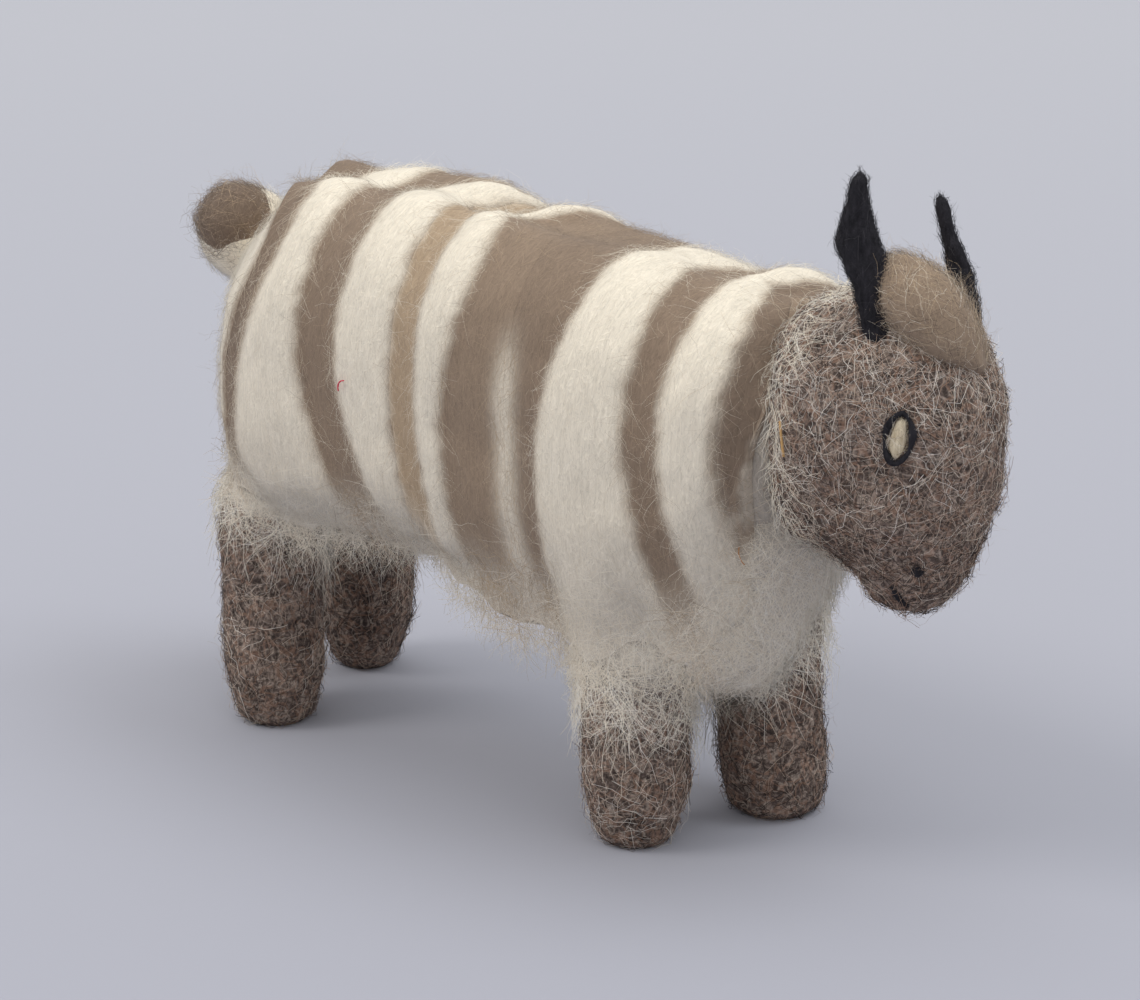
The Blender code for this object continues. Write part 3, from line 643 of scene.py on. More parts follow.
def setStage():
    # pale floor that bends up into a low backdrop all round
    reach, bend, sides = stageSet["reach"], stageSet["bend"], stageSet["sides"]
    turns = math.pi / 2 * np.arange(stageSet["steps"] + 1) / stageSet["steps"]
    radii = np.append(reach + bend * np.sin(turns), reach + bend)
    heights = np.append(bend * (1 - np.cos(turns)), stageSet["height"])
    rings = circleRings(xyz(0, 0, heights), radii, sides)
    faces = [face[::-1] for face in quads(*rings.shape[:2], ringed=True)]
    middle = rings.shape[0] * sides
    faces += [(middle, j, (j + 1) % sides) for j in range(sides)]
    floor = makeObject("floor", [*rings.reshape(-1, 3), (0.0, 0.0, 0.0)], faces, outward=False)
    material, tree, shader = shaderOf("paleFloorPaintedFalloff", 0.9, 0.0)
    # painted light: darker towards the camera and paler far off
    turn = math.radians(view["azimuth"])
    away = (-math.sin(turn) / mm, math.cos(turn) / mm, 0.0)
    depth = dot(tree, takeNode(tree, "ShaderNodeTexCoord", output="Object"), away)
    share = mapRange(tree, depth, stageSet["nearAt"], stageSet["farAt"])
    finishShader(tree, shader, ramp(tree, share, ((0.0, stageSet["near"]), (1.0, stageSet["far"]))))
    floor.data.materials.append(material)


def setLight():
    world = bpy.data.worlds.new("softRoom")
    world.use_nodes = True
    tree = world.node_tree
    way = takeNode(tree, "ShaderNodeTexCoord", output="Generated")
    height = takeNode(tree, "ShaderNodeSeparateXYZ", {0: way}, 2)
    sky = tree.nodes["Background"].inputs
    sky["Color"].default_value = (1.0, 1.0, 1.0, 1.0)
    tree.links.new(mapRange(tree, height, 0.0, 1.0, lights["skyLow"], lights["skyHigh"]), sky["Strength"])
    bpy.context.scene.world = world
    for name, (strength, spread, way, colour) in lights["lamps"].items():
        lamp = bpy.data.lights.new(name, "SUN")
        lamp.energy, lamp.angle, lamp.color = strength, math.radians(spread), colour
        addObject(name, lamp).rotation_euler = Vector(way).to_track_quat("Z", "Y").to_euler()


bpy.context.scene.view_settings.view_transform = "Standard"
setCamera()
setStage()
setLight()
print("camera, floor and light set")


# Body form, shared by the core and the fleece on it

body = {
    "widest": 72.0, "rumpLength": 32.2, "chestLength": 32.0, "rumpRise": 29.5, "withersRise": 25.6,
    "neckRise": 8.0, "neckRadius": 14.0, "rumpPower": 2.2, "backPower": 2.3, "bellyPower": 2.5,
    "arcShare": 0.56,        # share of a strip's way from spine to hem that lies on the back
    "layerGap": 0.5, "bellyOut": 19.4, "legClear": 1.2, "legHeight": 36.0,
    "groove": 3.2, "grooveAngle": 11.0, "grooveEnd": (0.0, 25.0), "grooveLeft": 0.25,
    "farHem": 11.0, "farHemAt": (26.0, 8.0),     # how much higher the left hem is under the neck, and where
    "hemRagged": 2.2, "hemSize": 4.5, "frontTuck": 0.35, "tuckOver": 10.0, "tuckBelow": (0.1, 0.6),
    "bendBy": 0.45, "bendPower": 1.5, "leanOver": (0.4, 0.95),
}
coreLow, coreHigh = nodeBox("core_body")
neckX, halfWidth = coreHigh[0], coreHigh[1]
rumpX = coreLow[0] + body["rumpLength"]
frontX = neckX - body["chestLength"]
bellyDrop = body["widest"] - coreLow[2]

stripNames = ("taupe_strip_1", "cream_strip_1", "taupe_strip_2", "cream_strip_2", "taupe_strip_3",
              "cream_strip_3", "taupe_strip_4", "taupe_strip_5", "cream_strip_4", "taupe_strip_6",
              "cream_strip_5", "taupe_strip_7", "collar_fleece")
stripBoxes = [nodeBox(name) for name in stripNames]
halfGap = body["layerGap"] / 2
# how far the wool has moved each edge between strips forward: on the spine, on the right and left shoulders,
# on the flank and at the hem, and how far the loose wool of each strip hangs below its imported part
backShift = (-1.0, 3.5, 4.0, 4.5, 0.0, 0.0, 1.0, 1.5, 8.0, 1.0, 1.5, 2.0, 1.0, 0.0)
rightShift = (8.5, 7.0, 0.8, 1.5, 0.5, 0.5, 4.0, 0.0, 3.0, 1.0, 1.0, 1.0, 1.0, 0.0)
leftShift = (-4.0, 0.0, 0.0, 11.0, 0.0, 6.5, 5.0, 0.0, 2.0, 0.0, 0.0, 0.0, 0.0, 0.0)
flankShift = (0.8, 0.3, 0.0, 0.0, 0.0, 0.0, 1.0, 0.0, 0.5, 2.0, 1.5, 2.0, 1.2, 0.0)
hemLean = (0.0, -2.0, 11.0, 11.0, 4.0, 4.0, 4.0, 2.0, 2.0, 7.0, 6.0, 1.0, -4.0, -9.0)
hemDrop = (0.0, 0.0, 0.0, 0.0, 0.0, 2.0, 5.0, 5.0, 4.0, 4.0, 2.0, 0.0, 0.0)
collarBack = 2.0        # how far behind the neck the last edge lies
spineEdges = [low[0] - halfGap for low, _ in stripBoxes] + [neckX - collarBack]
flankEdges = [nodeBox("rump_fleece")[1][0] + halfGap] + [high[0] + halfGap for _, high in stripBoxes]
hemPlaces = [(a + b) / 2 for a, b in zip(flankEdges, flankEdges[1:])]
hemHeights = [low[2] - drop for (low, _), drop in zip(stripBoxes, hemDrop)]
legNames = ("fore_leg_right", "fore_leg_left", "hind_leg_right", "hind_leg_left")
legRings = {name: nodeRings(name) for name in legNames}


def section(x, grow):
    # half width, middle height, rise and drop of the body at x, grown outwards
    rear = np.clip((rumpX - x) / (body["rumpLength"] + grow), 0, 1)
    left = (1 - rear ** body["rumpPower"]) ** (1 / body["rumpPower"])
    along = np.clip((x - rumpX) / (frontX - rumpX), 0, 1)
    front = np.clip((x - frontX) / body["chestLength"], 0, 1) ** 2
    back = mix(body["rumpRise"], body["withersRise"], along)
    half, rise, drop = ((mix(size, body["neckRadius"], front) + grow) * left
                        for size in (halfWidth, back, bellyDrop))
    return half, body["widest"] + body["neckRise"] * front, rise, drop


def hemOut(x, side):
    # how far out the hem hangs: round a leg, and tucked under the belly between them
    out = body["bellyOut"] * section(x, 0.0)[0] / halfWidth
    for rings in legRings.values():
        cx, cy, radius = (np.interp(body["legHeight"], rings[:, 2], rings[:, i]) for i in (0, 1, 3))
        round2 = (radius + body["legClear"]) ** 2 - (x - cx) ** 2
        out = np.maximum(out, np.where(cy * side > 0, abs(cy) + np.sqrt(np.maximum(round2, 0)), 0))
    return out


def backShare(way):
    # 0 on the spine, 1 where the flank starts
    return np.clip(abs(way) / body["arcShare"], 0, 1)


def bodyPoint(x, way, grow):
    # a point on the body: way is 0 on the spine, -1 at the right hem and 1 at the left hem
    side, share = np.sign(way), abs(way)
    half, middle, rise, _ = section(x, grow)
    turn = backShare(way) * math.pi / 2
    arcY = half * np.sin(turn) ** (2 / body["backPower"])
    arcZ = middle + rise * np.cos(turn).clip(0) ** (2 / body["backPower"])
    step = np.clip((share - body["arcShare"]) / (1 - body["arcShare"]), 0, 1)
    farFrom, farFull = (neckX - gap for gap in body["farHemAt"])
    hem = np.interp(x, hemPlaces, hemHeights) + body["farHem"] * ease(farFrom, farFull, x) * (side > 0)
    hem = hem + body["hemRagged"] * bumpy(xyz(x, 20 * side, 0), body["hemSize"], 8)
    height = mix(middle, hem, step)
    fullHalf, _, _, drop = section(x, grow + body["layerGap"])
    below = np.clip((middle - height) / drop, 0, 1)
    hugging = fullHalf * (1 - below ** body["bellyPower"]) ** (1 / body["bellyPower"])
    hanging = mix(half, hemOut(x, side), step ** 2)
    y = np.where(step > 0, np.maximum(np.minimum(hugging, half), hanging), arcY)
    tuck = ease(neckX - body["tuckOver"], neckX, x) * ease(*body["tuckBelow"], step)
    y = y * (1 - body["frontTuck"] * tuck)
    return xyz(x, side * y, np.where(step > 0, height, arcZ))


def edgeX(index, way):
    turn = backShare(way) * math.pi / 2
    leftBend = ease(0.0, body["bendBy"], turn) * np.cos(turn).clip(0) ** body["bendPower"]
    shoulder = np.where(way < 0, rightShift[index] * np.sin(2 * turn), leftShift[index] * leftBend)
    lean = hemLean[index] * ease(*body["leanOver"], abs(way))
    back, flank = spineEdges[index] + backShift[index], flankEdges[index] + flankShift[index]
    return mix(back, flank, np.sqrt(np.sin(turn))) + shoulder + lean


def grooveAt(x, way):
    angle = backShare(way) * 90
    depth = body["groove"] * mix(1.0, body["grooveLeft"], ease(*body["grooveEnd"], x))
    return depth * np.exp(-((angle / body["grooveAngle"]) ** 2))


# Combed fleece strips

combed = {
    "across": 14, "along": 88,             # cells of a strip's mesh
    "thick": 4.9, "thinnest": 0.4, "creamRise": 1.2, "riseOver": 3.6, "taupeDip": 0.5, "dipOver": 2.5,
    "frontDip": 0.75, "frontDipAt": (7.0, 1.0), "fill": 0.7,
    # how much fuller or thinner the wool lies along the back, right and left of the spine
    "backAt": (-66.0, -54.0, -42.0, -31.0, -24.0, -17.0, -10.0, 3.0, 20.0, 38.0, 45.0, 53.0),
    "rightRise": (2.0, 1.0, 0.2, 1.2, 1.8, 2.2, 2.2, 2.2, 1.6, 0.3, -0.3, -1.2),
    "leftRise": (4.2, -0.8, 0.4, 2.2, 1.2, -1.8, 0.4, 0.2, -0.6, -2.0, 0.3, 0.0),
    "hemAt": 0.95, "hemThin": 0.7, "hemThinFrom": 0.8, "spineBlend": 0.12,
    "lumps": 0.5, "lumpSize": 11.0, "tufts": 0.25, "tuftSize": 3.5,
    "taupeOver": 2.4, "creamOver": 1.2,    # how far the wool of a strip strays over its neighbours
    "seamGap": 0.02, "fringeFrom": 0.74,
    "fadeOut": 1.9, "fadeIn": 1.3,         # where taupe turns to cream, outside and inside a strip's side
    "ragged": 0.9, "raggedSize": 3.0, "collarCover": 4.0, "collarOver": (0.6, 0.35),
    "greyShadeFrom": 0.5, "greyShadeTone": -0.2, "greyShadeDye": 0.6,       # lower flank is greyer: partly the grey of the hem wool, partly painted shade low on the body
    "paleFrom": 0.74, "pale": 0.9,         # a taupe strip pales into its hem
    "wedge": 0.8, "wedgeWidth": 2.6, "wedgeOver": (0.3, 0.5),    # pale wool between the wide taupe strips
    "paleTone": 0.45, "beigeTone": -0.25,  # change of tone as one wool turns into the other
    "patches": 0.05, "patchSize": 6.0, "streaks": 0.06, "streakStretch": (1.0, 0.15, 0.15), "outFrom": 10.0,
    "plainTone": -0.14, "midTone": -0.12,  # tone of the taupe dye where no strip names one, and its middle
}
stripTones = {"taupe_strip_1": -0.2, "taupe_strip_2": -0.17, "taupe_strip_3": -0.03, "taupe_strip_4": -0.15,
              "taupe_strip_5": -0.18, "taupe_strip_6": -0.17, "taupe_strip_7": -0.2}
# edges on either side of each taupe band, and how far its wool spreads past them
taupeBands = ((0, 1, 1.8), (2, 3, 1.0), (4, 5, 0.2), (6, 8, 0.2), (9, 10, 0.2), (11, 12, 0.2))
seamEdge = stripNames.index("taupe_strip_5")
combedCoat = coatTree(
    "combedCoat",
    dict(density=0.5, length=6.5, width=0.05, curl=4.0, curlSize=2.6, stray=0.9, soft=0.9),
    dict(density=0.6, length=3.8, uneven=0.5, width=0.05, lift=0.9, curl=3.6, curlSize=2.0, stray=3.14,
         toneSpread=0.24, soft=0.85, points=4),
    dict(density=0.12, length=5.0, uneven=0.5, width=0.034, lift=2.0, bow=1.2, curl=5.0, stray=3.14,
         tone=0.68, toneSpread=0.25),
    dict(where="fringe", density=1.8, length=5.5, uneven=0.6, width=0.085, lift=1.8, bow=1.0, curl=7.0,
         curlSize=2.6, stray=2.0, droop=0.2, tone=0.72, toneSpread=0.24),
)


def taupeDepth(x, way):
    # distance inside the nearest taupe band, less than 0 on cream
    depth = np.full_like(x, -99.0)
    for rear, front, spread in taupeBands:
        high = edgeX(front, way)
        if rear == taupeBands[-1][0]:
            high = high + combed["collarCover"] * ease(*combed["collarOver"], abs(way))
        depth = np.maximum(depth, np.minimum(x - edgeX(rear, way), high - x) + spread)
    return depth


def backRise(x, way):
    right, left = (flowThrough(combed["backAt"], combed[key], x) for key in ("rightRise", "leftRise"))
    over = combed["spineBlend"]
    return mix(right, left, ease(-over, over, way)) * np.cos(backShare(way) * math.pi / 2)


def fleecePoint(x, way):
    # outside of the fleece: cream puffs up, taupe lies lower, and the needle has drawn in the spine
    depth = taupeDepth(x, way)
    lift = combed["thick"] + combed["creamRise"] * (1 - np.exp(np.minimum(depth, 0) / combed["riseOver"]))
    lift = lift - combed["taupeDip"] * ease(0, combed["dipOver"], depth)
    dipFrom, dipFull = (neckX - gap for gap in combed["frontDipAt"])
    lift = lift * (1 - combed["frontDip"] * ease(dipFrom, dipFull, x))
    lift = lift + backRise(x, way) - grooveAt(x, way)
    lift = lift * (1 - combed["hemThin"] * ease(combed["hemThinFrom"], 1.0, abs(way)))
    flat = bodyPoint(x, way, body["layerGap"] + lift)
    for seed, amount, size in ((1, "lumps", "lumpSize"), (2, "tufts", "tuftSize")):
        lift = lift + combed[amount] * bumpy(flat, combed[size], seed)
    return bodyPoint(x, way, body["layerGap"] + np.maximum(lift, combed["thinnest"]))


def taupeShare(x, way, grid):
    # how taupe the wool is at a point, from 0 to 1
    depth = taupeDepth(x, way) + combed["ragged"] * bumpy(grid, combed["raggedSize"], 5)
    share = ease(-combed["fadeOut"], combed["fadeIn"], depth)
    seam = np.exp(-(((x - edgeX(seamEdge, way)) / combed["wedgeWidth"]) ** 2))
    share = share * (1 - combed["wedge"] * seam * ease(*combed["wedgeOver"], abs(way)))
    return share * (1 - combed["pale"] * ease(combed["paleFrom"], 1.0, abs(way)))


# share of the painted shade and grey low on the flank, 0 high up and 1 at the hem
def greyShadeShare(way):
    return ease(combed["greyShadeFrom"], 1.0, abs(way))


def stripTint(name, share, way, grid):
    tint = stripTones.get(name, 0.0) + combed["patches"] * bumpy(grid, combed["patchSize"], 2)
    tint = tint + combed["streaks"] * bumpy(grid * combed["streakStretch"], 1.0, 6)
    if name.startswith("taupe"):
        return tint + combed["paleTone"] * (1 - share)
    # cream turns beige beside taupe and greyer low down, the grey partly painted shade
    return tint + combed["beigeTone"] * share + combed["greyShadeTone"] * greyShadeShare(way)


def stripDye(name, share, way):
    # colours of the ground, greyer towards its hem, partly the hem's own grey and partly painted shade
    off = stripTones.get(name, combed["plainTone"]) - combed["midTone"]
    taupe = mix(dyes["taupe"], dyes["taupeDark" if off < 0 else "taupePale"], abs(off / combed["midTone"]))
    share = share[..., None]
    colour = mix(dyes["cream"], taupe, share)
    return mix(colour, dyes["grey"], combed["greyShadeDye"] * greyShadeShare(way)[..., None] * (1 - share))


def combDown(grid, way, axis):
    # lay from the spine to either hem
    return np.gradient(grid, axis=axis) * np.where(way < 0, -1.0, 1.0)[..., None]


def stripPiece(index, name):
    kind = "taupe" if name.startswith("taupe") else "cream"
    stations, cells = np.linspace(-1, 1, combed["along"] + 1), np.linspace(0, 1, combed["across"] + 1)
    way, across = np.meshgrid(stations * combed["hemAt"], cells, indexing="ij")
    x = mix(edgeX(index, way) + combed["seamGap"], edgeX(index + 1, way) - combed["seamGap"], across)
    outer, inner = fleecePoint(x, way), bodyPoint(x, way, body["layerGap"])
    ground = loft(name, np.concatenate([outer, inner[:, ::-1]], axis=1))
    ground.data.set_sharp_from_angle(angle=1.0)        # keeps one strip's shading level with the next
    colours = stripDye(name, taupeShare(x, way, outer), way)
    settle(dye(ground, np.concatenate([colours, colours[:, ::-1]], axis=1)), name)

    way, across = np.meshgrid(stations, cells, indexing="ij")
    over = combed[kind + "Over"]
    rear, front = edgeX(index, way), edgeX(index + 1, way)
    x = mix(rear - over, front + over, across)
    grid = fleecePoint(x, way)
    out = (grid - [0, 0, body["widest"] - combed["outFrom"]]) * [0, 1, 1]
    shag = ease(-over, over, x - rear) * ease(-over, over, front - x)
    tint = stripTint(name, taupeShare(x, way, grid), way, grid)
    fringe = shag * ease(combed["fringeFrom"], combed["hemAt"], abs(way))
    root = scalp(name, grid, combDown(grid, way, 0), out, tint=tint, shag=shag, fringe=fringe)
    growCoat(name + "_fleece", root, combedCoat, kind + "Fibre", 100 + index)


for stripIndex, stripName in enumerate(stripNames):
    stripPiece(stripIndex, stripName)
print("fleece strips combed")


# Packed core, which shows only under the belly

core = {"stations": 40, "sides": 40, "first": 0.02, "spacing": 1.25, "belly": 0.55, "bellyFade": 0.25,
        "fill": 0.9}
bellyCoat = coatTree("bellyCoat", dict(density=0.2, length=10.0, width=0.1, lift=1.0, curl=5.0, curlSize=4.0,
                                       stray=1.5, drift=1.5, tone=0.42, toneSpread=0.25))


def corePiece():
    tip = rumpX - body["rumpLength"]
    stations = mix(tip, neckX, np.linspace(core["first"], 1.0, core["stations"]) ** core["spacing"])
    x, turn = np.meshgrid(stations, np.linspace(0, 2 * math.pi, core["sides"], endpoint=False), indexing="ij")
    half, middle, rise, drop = section(x, 0.0)
    above = np.cos(turn) > 0
    power = np.where(above, body["backPower"], body["bellyPower"])
    z = middle + np.where(above, rise, drop) * rounded(np.cos(turn), power)
    rings = xyz(x, half * rounded(np.sin(turn), power), z)
    ground = loft("core_body", rings, start=(tip, 0, body["widest"]))
    settle(dye(ground, dyes["grey"]), "core_body")
    under = ease(core["belly"] - core["bellyFade"], core["belly"], -np.cos(turn))
    coatRings("core_body_fleece", rings, (-1, 0, 0), bellyCoat, "creamFibre", "core_wool", 20, shag=under)


corePiece()
print("core packed")


# Rump fleece, a cap that draws the first strip's outline together behind it

rump = {
    "thickness": 4.1, "steps": 26, "along": 72, "reach": 0.985, "spacing": 0.8, "lumps": 0.5,
    "lumpSize": 11.0, "dip": 8.5, "dipOver": (-0.1, 0.4), "dipStart": 0.08,    # fall of the back behind
    "tuck": 0.2, "tuckFrom": 0.7, "tuckStart": 0.3, "ragged": 2.5, "raggedSize": 4.0,
    "leastLay": 0.05, "noiseWidth": 40, "coat": 0.8, "fringe": 1.6, "fringeFrom": 0.78,
    "fringeEnd": (0.8, 0.98), "fill": 0.7,
    "backPower": 2.0, "lowPower": 2.7, "lowOver": (0.3, 0.9),    # how square it is on the back and at the hem
    "rightPower": (1.35, 1.5), "leftPower": (2.0, 2.4),     # and at its sides, halfway up and at the hem
}


def rumpPiece():
    tip = rumpX - body["rumpLength"] - body["layerGap"] - rump["thickness"]
    stations = np.linspace(-1, 1, rump["along"] + 1) * combed["hemAt"]
    steps = np.linspace(0, rump["reach"], rump["steps"]) ** rump["spacing"]
    share, way = np.meshgrid(steps, stations, indexing="ij")
    edge = edgeX(0, way)
    outline = fleecePoint(edge, way) - [0, 0, body["widest"]]

    def drawIn(power):
        return (1 - share ** power) ** (1 / power)

    low = ease(body["arcShare"], 1.0, abs(way))
    sidePower = np.where(way < 0, mix(*rump["rightPower"], low), mix(*rump["leftPower"], low))
    tallPower = mix(rump["backPower"], rump["lowPower"], ease(*rump["lowOver"], abs(way)))
    turn = backShare(way) * math.pi / 2
    dip = rump["dip"] * ease(*rump["dipOver"], share) * np.cos(turn) ** 2 * ease(0.0, rump["dipStart"], share)
    x = mix(edge - combed["seamGap"], tip, share)
    x = x - rump["lumps"] * bumpy(xyz(x, way * rump["noiseWidth"], 0), rump["lumpSize"], 3) * share
    hem = ease(rump["tuckFrom"], combed["hemAt"], abs(way)) * ease(0.0, rump["tuckStart"], share)
    y = outline[..., 1] * drawIn(sidePower) * (1 - rump["tuck"] * hem)
    z = (outline[..., 2] - dip) * drawIn(tallPower)
    z = z + hem * rump["ragged"] * bumpy(xyz(x, y, 0), rump["raggedSize"], 9)
    grid = xyz(x, y, body["widest"] + z)
    ground = loft("rump_fleece", grid, start=(flankEdges[0], 0, body["widest"]), end=(tip, 0, body["widest"]))
    ground.data.set_sharp_from_angle(angle=1.0)
    taupe = taupeShare(x, way, grid)
    settle(dye(ground, stripDye("rump_fleece", taupe, way)), "rump_fleece")
    lay = combDown(grid, way, 1)
    lay = np.where(np.linalg.norm(lay, axis=-1, keepdims=True) < rump["leastLay"], [0, 0, -1.0], lay)
    out = grid - np.array([rumpX, 0, body["widest"]])
    tint = stripTint("rump_fleece", taupe, way, grid)
    fringe = rump["fringe"] * ease(rump["fringeFrom"], combed["hemAt"], abs(way))
    fringe = fringe * (1 - ease(*rump["fringeEnd"], share))
    root = scalp("rump_fleece", grid, lay, out, tint=tint, fringe=fringe)
    growCoat("rump_fleece_fleece", root, combedCoat, "creamFibre", 90, rump["coat"])


rumpPiece()
print("rump covered")


# Chest fleece, a tongue that hangs between the fore legs

chest = {
    "heights": (-44.0, -39.0, -31.0, -21.0, -12.5, -7.0), "behind": (14.5, 12.5, 9.8, 6.8, 4.4, 3.0),
    "halfWidths": (6.0, 13.0, 17.5, 19.5, 18.5, 15.0), "depths": (3.0, 6.0, 8.0, 8.6, 8.6, 7.0), "bow": 6.5,
    "levels": 24, "sides": 48, "lumps": 0.7, "lumpSize": 9.0, "coat": 0.8, "fill": 0.6,
    "facing": (-0.4, 0.0), "leftRise": 0.9, "riseTo": 0.75,      # its hem climbs to the left
    "tint": -0.1, "lowTint": -0.1, "lowReach": 0.7, "lowTo": 0.45,      # low down it is greyer and longer
}
fluffCoat = coatTree(
    "fluffCoat",
    dict(density=0.8, width=0.05, curl=4.0, stray=1.2, soft=0.9),
    dict(density=1.9, length=8.5, uneven=0.5, width=0.075, lift=3.0, bow=1.0, curl=7.0, curlSize=3.2,
         stray=1.6, tone=0.74, toneSpread=0.36, points=6),
)


def chestPiece():
    levels = np.linspace(0, 1, chest["levels"])[:, None]
    heights = np.linspace(chest["heights"][0], chest["heights"][-1], chest["levels"])[:, None]
    behind, half, depth = (flowThrough(chest["heights"], chest[key], heights)
                           for key in ("behind", "halfWidths", "depths"))
    turns = fullTurn(chest["sides"])
    a, b = np.cos(turns), np.sin(turns)
    x = neckX - behind + a * depth / 2 - chest["bow"] * b ** 2
    rise = chest["leftRise"] * np.maximum(b, 0) * half * ease(chest["riseTo"], 0.0, levels)
    rings = xyz(x, b * half, body["widest"] + heights + rise)
    rings = swell(rings, chest["lumps"], chest["lumpSize"], 4)
    # painted shade: the ground under the fluff is grey, for the shade among the fluff and under the head
    settle(dye(loft("chest_fleece", rings), dyes["grey"]), "chest_fleece")
    low = ease(chest["lowTo"], 0.0, levels)
    ahead = ease(*chest["facing"], outOf(rings)[..., 0])
    coatRings("chest_fleece_fleece", rings, (0, 0, -1), fluffCoat, "creamFibre", "cream_wool", 91,
              chest["coat"],
              tint=chest["tint"] + chest["lowTint"] * low, shag=ahead, reach=1 + chest["lowReach"] * low)


chestPiece()
print("chest hung")


# Coarse felt: a tangle of curly hairs in many browns

coarseCoat = coatTree(
    "coarseCoat",
    dict(density=0.65, length=7.5, uneven=0.5, width=0.11, taper=0.4, lift=0.3, bow=0.5, curl=6.0,
         curlSize=2.2, stray=3.14, tone=0.32, toneSpread=0.75, soft=0.4, points=6),
    dict(density=0.22, length=8.5, uneven=0.6, width=0.07, taper=0.4, lift=0.8, bow=0.5, curl=6.0,
         curlSize=2.6, stray=3.14, tone=0.8, toneSpread=0.4, soft=0.45, points=7),
    dict(density=0.09, length=5.5, uneven=0.6, width=0.05, lift=2.2, bow=1.3, curl=5.0, curlSize=2.6,
         stray=3.14, tone=0.8, toneSpread=0.25, soft=0.5, points=7),
)


# Legs: felt stumps, flat under the foot

leg = {
    "levels": 40, "sides": 36, "spacing": 1.4, "lumps": 0.55, "lumpSize": 8.0, "smoothSole": 4.0, "fill": 0.9,
    "bareSole": (0.2, 1.5), "buried": 42.0, "buriedOver": 3.0, "thickness": 0.58, "patches": 0.2,
    "patchSize": 5.0, "footTall": 14.0, "leanTall": 26.0,
    "wispPower": 1.6, "wispEnd": (5.0, 2.0), "wispOut": 0.5,
    "wispGaps": 0.35, "wispSize": 3.5, "wispStretch": 0.3,
}
# tint of each leg, how much its foot narrows and how far it steps aside, the heights at which loose fleece
# starts to show on it and covers it, and how much higher these are to the left in front
# the strong dark tints of the two left legs are painted shade, for the body's shade over them
legs = {
    "fore_leg_right": {"tint": 0.02, "foot": 0.84, "step": (2.2, -1.4), "bare": 19.0, "covered": 28.0,
                       "slant": -2.5},
    "fore_leg_left": {"tint": -0.4, "foot": 1.0, "step": (2.2, -0.7), "bare": 22.0, "covered": 31.0,
                      "slant": 5.0},
    "hind_leg_right": {"tint": -0.08, "foot": 0.9, "step": (2.3, -1.0), "bare": 34.0, "covered": 39.0,
                       "slant": -3.5},
    "hind_leg_left": {"tint": -0.3, "foot": 0.76, "step": (0.0, -1.2), "bare": 22.0, "covered": 31.0,
                      "slant": 0.0},
}
cuff = {
    "slantWay": (0.73, 0.68), "levels": 16, "sides": 60, "thin": 0.1, "thick": 1.0, "thickBy": 0.5,
    "power": 0.7, "ragged": 2.6, "raggedSize": 4.0, "lumps": 0.5, "lumpSize": 5.0, "lumpPower": 0.5,
    "inside": 2.0, "crown": 2.0,
    "fade": 0.35, "patches": 0.2, "patchSize": 3.0, "cream": 0.3, "tint": -0.06, "lowTint": -0.1,
    "coat": 0.45, "fill": 0.4,
}
wispCoat = coatTree("wispCoat", dict(density=2.4, length=8.5, uneven=0.6, width=0.1, lift=1.8, curl=7.5,
                                     curlSize=3.4, stray=1.6, tone=0.72, toneSpread=0.36))


def legCentre(own, given, heights):
    # middle of a leg, its foot stepped aside
    share = 1 - ease(0.0, leg["leanTall"], heights)
    cx, cy = (np.interp(heights, given[:, 2], given[:, i]) + own["step"][i] * share for i in (0, 1))
    return xyz(cx, cy, heights)


def cuffPiece(name, own, given, seed):
    # fluff that the hem leaves round the top of a leg, thinning out to a ragged edge
    around = circle(cuff["sides"])
    bottom = own["covered"] + own["slant"] * (around[:, :2] @ cuff["slantWay"])
    bottom = bottom + cuff["ragged"] * bumpy(around * given[0, 3], cuff["raggedSize"], seed)
    share = np.linspace(0, 1, cuff["levels"])[:, None]
    heights = mix(bottom[None], given[-1, 2], share)
    centres, radius = legCentre(own, given, heights), np.interp(heights, given[:, 2], given[:, 3])
    thick = mix(cuff["thin"], cuff["thick"], np.minimum(share / cuff["thickBy"], 1) ** cuff["power"])
    outer = centres + around[None] * (radius + thick)[..., None]
    lumpy = swell(outer, cuff["lumps"], cuff["lumpSize"], seed + 1)
    outer = mix(outer, lumpy, share[..., None] ** cuff["lumpPower"])
    inner = centres + around[None] * (radius - cuff["inside"])[..., None]
    rings = np.concatenate([inner[:1], outer])
    ground = loft(name + "_cuff", rings, end=rings[-1].mean(0) + [0, 0, cuff["crown"]])
    shares = np.concatenate([share[:1], share]) + cuff["patches"] * bumpy(rings, cuff["patchSize"], seed + 2)
    pale = mix(dyes["grey"], dyes["cream"], cuff["cream"])
    dye(ground, mix(dyes["brown"], pale, ease(0.0, cuff["fade"], shares)[..., None]))
    settle(ground)
    coatRings(name + "_cuff_fleece", outer, (0, 0, -1), wispCoat, "creamFibre", "cream_wool", 260 + seed,
              cuff["coat"], tint=cuff["tint"] + cuff["lowTint"] * (1 - share))


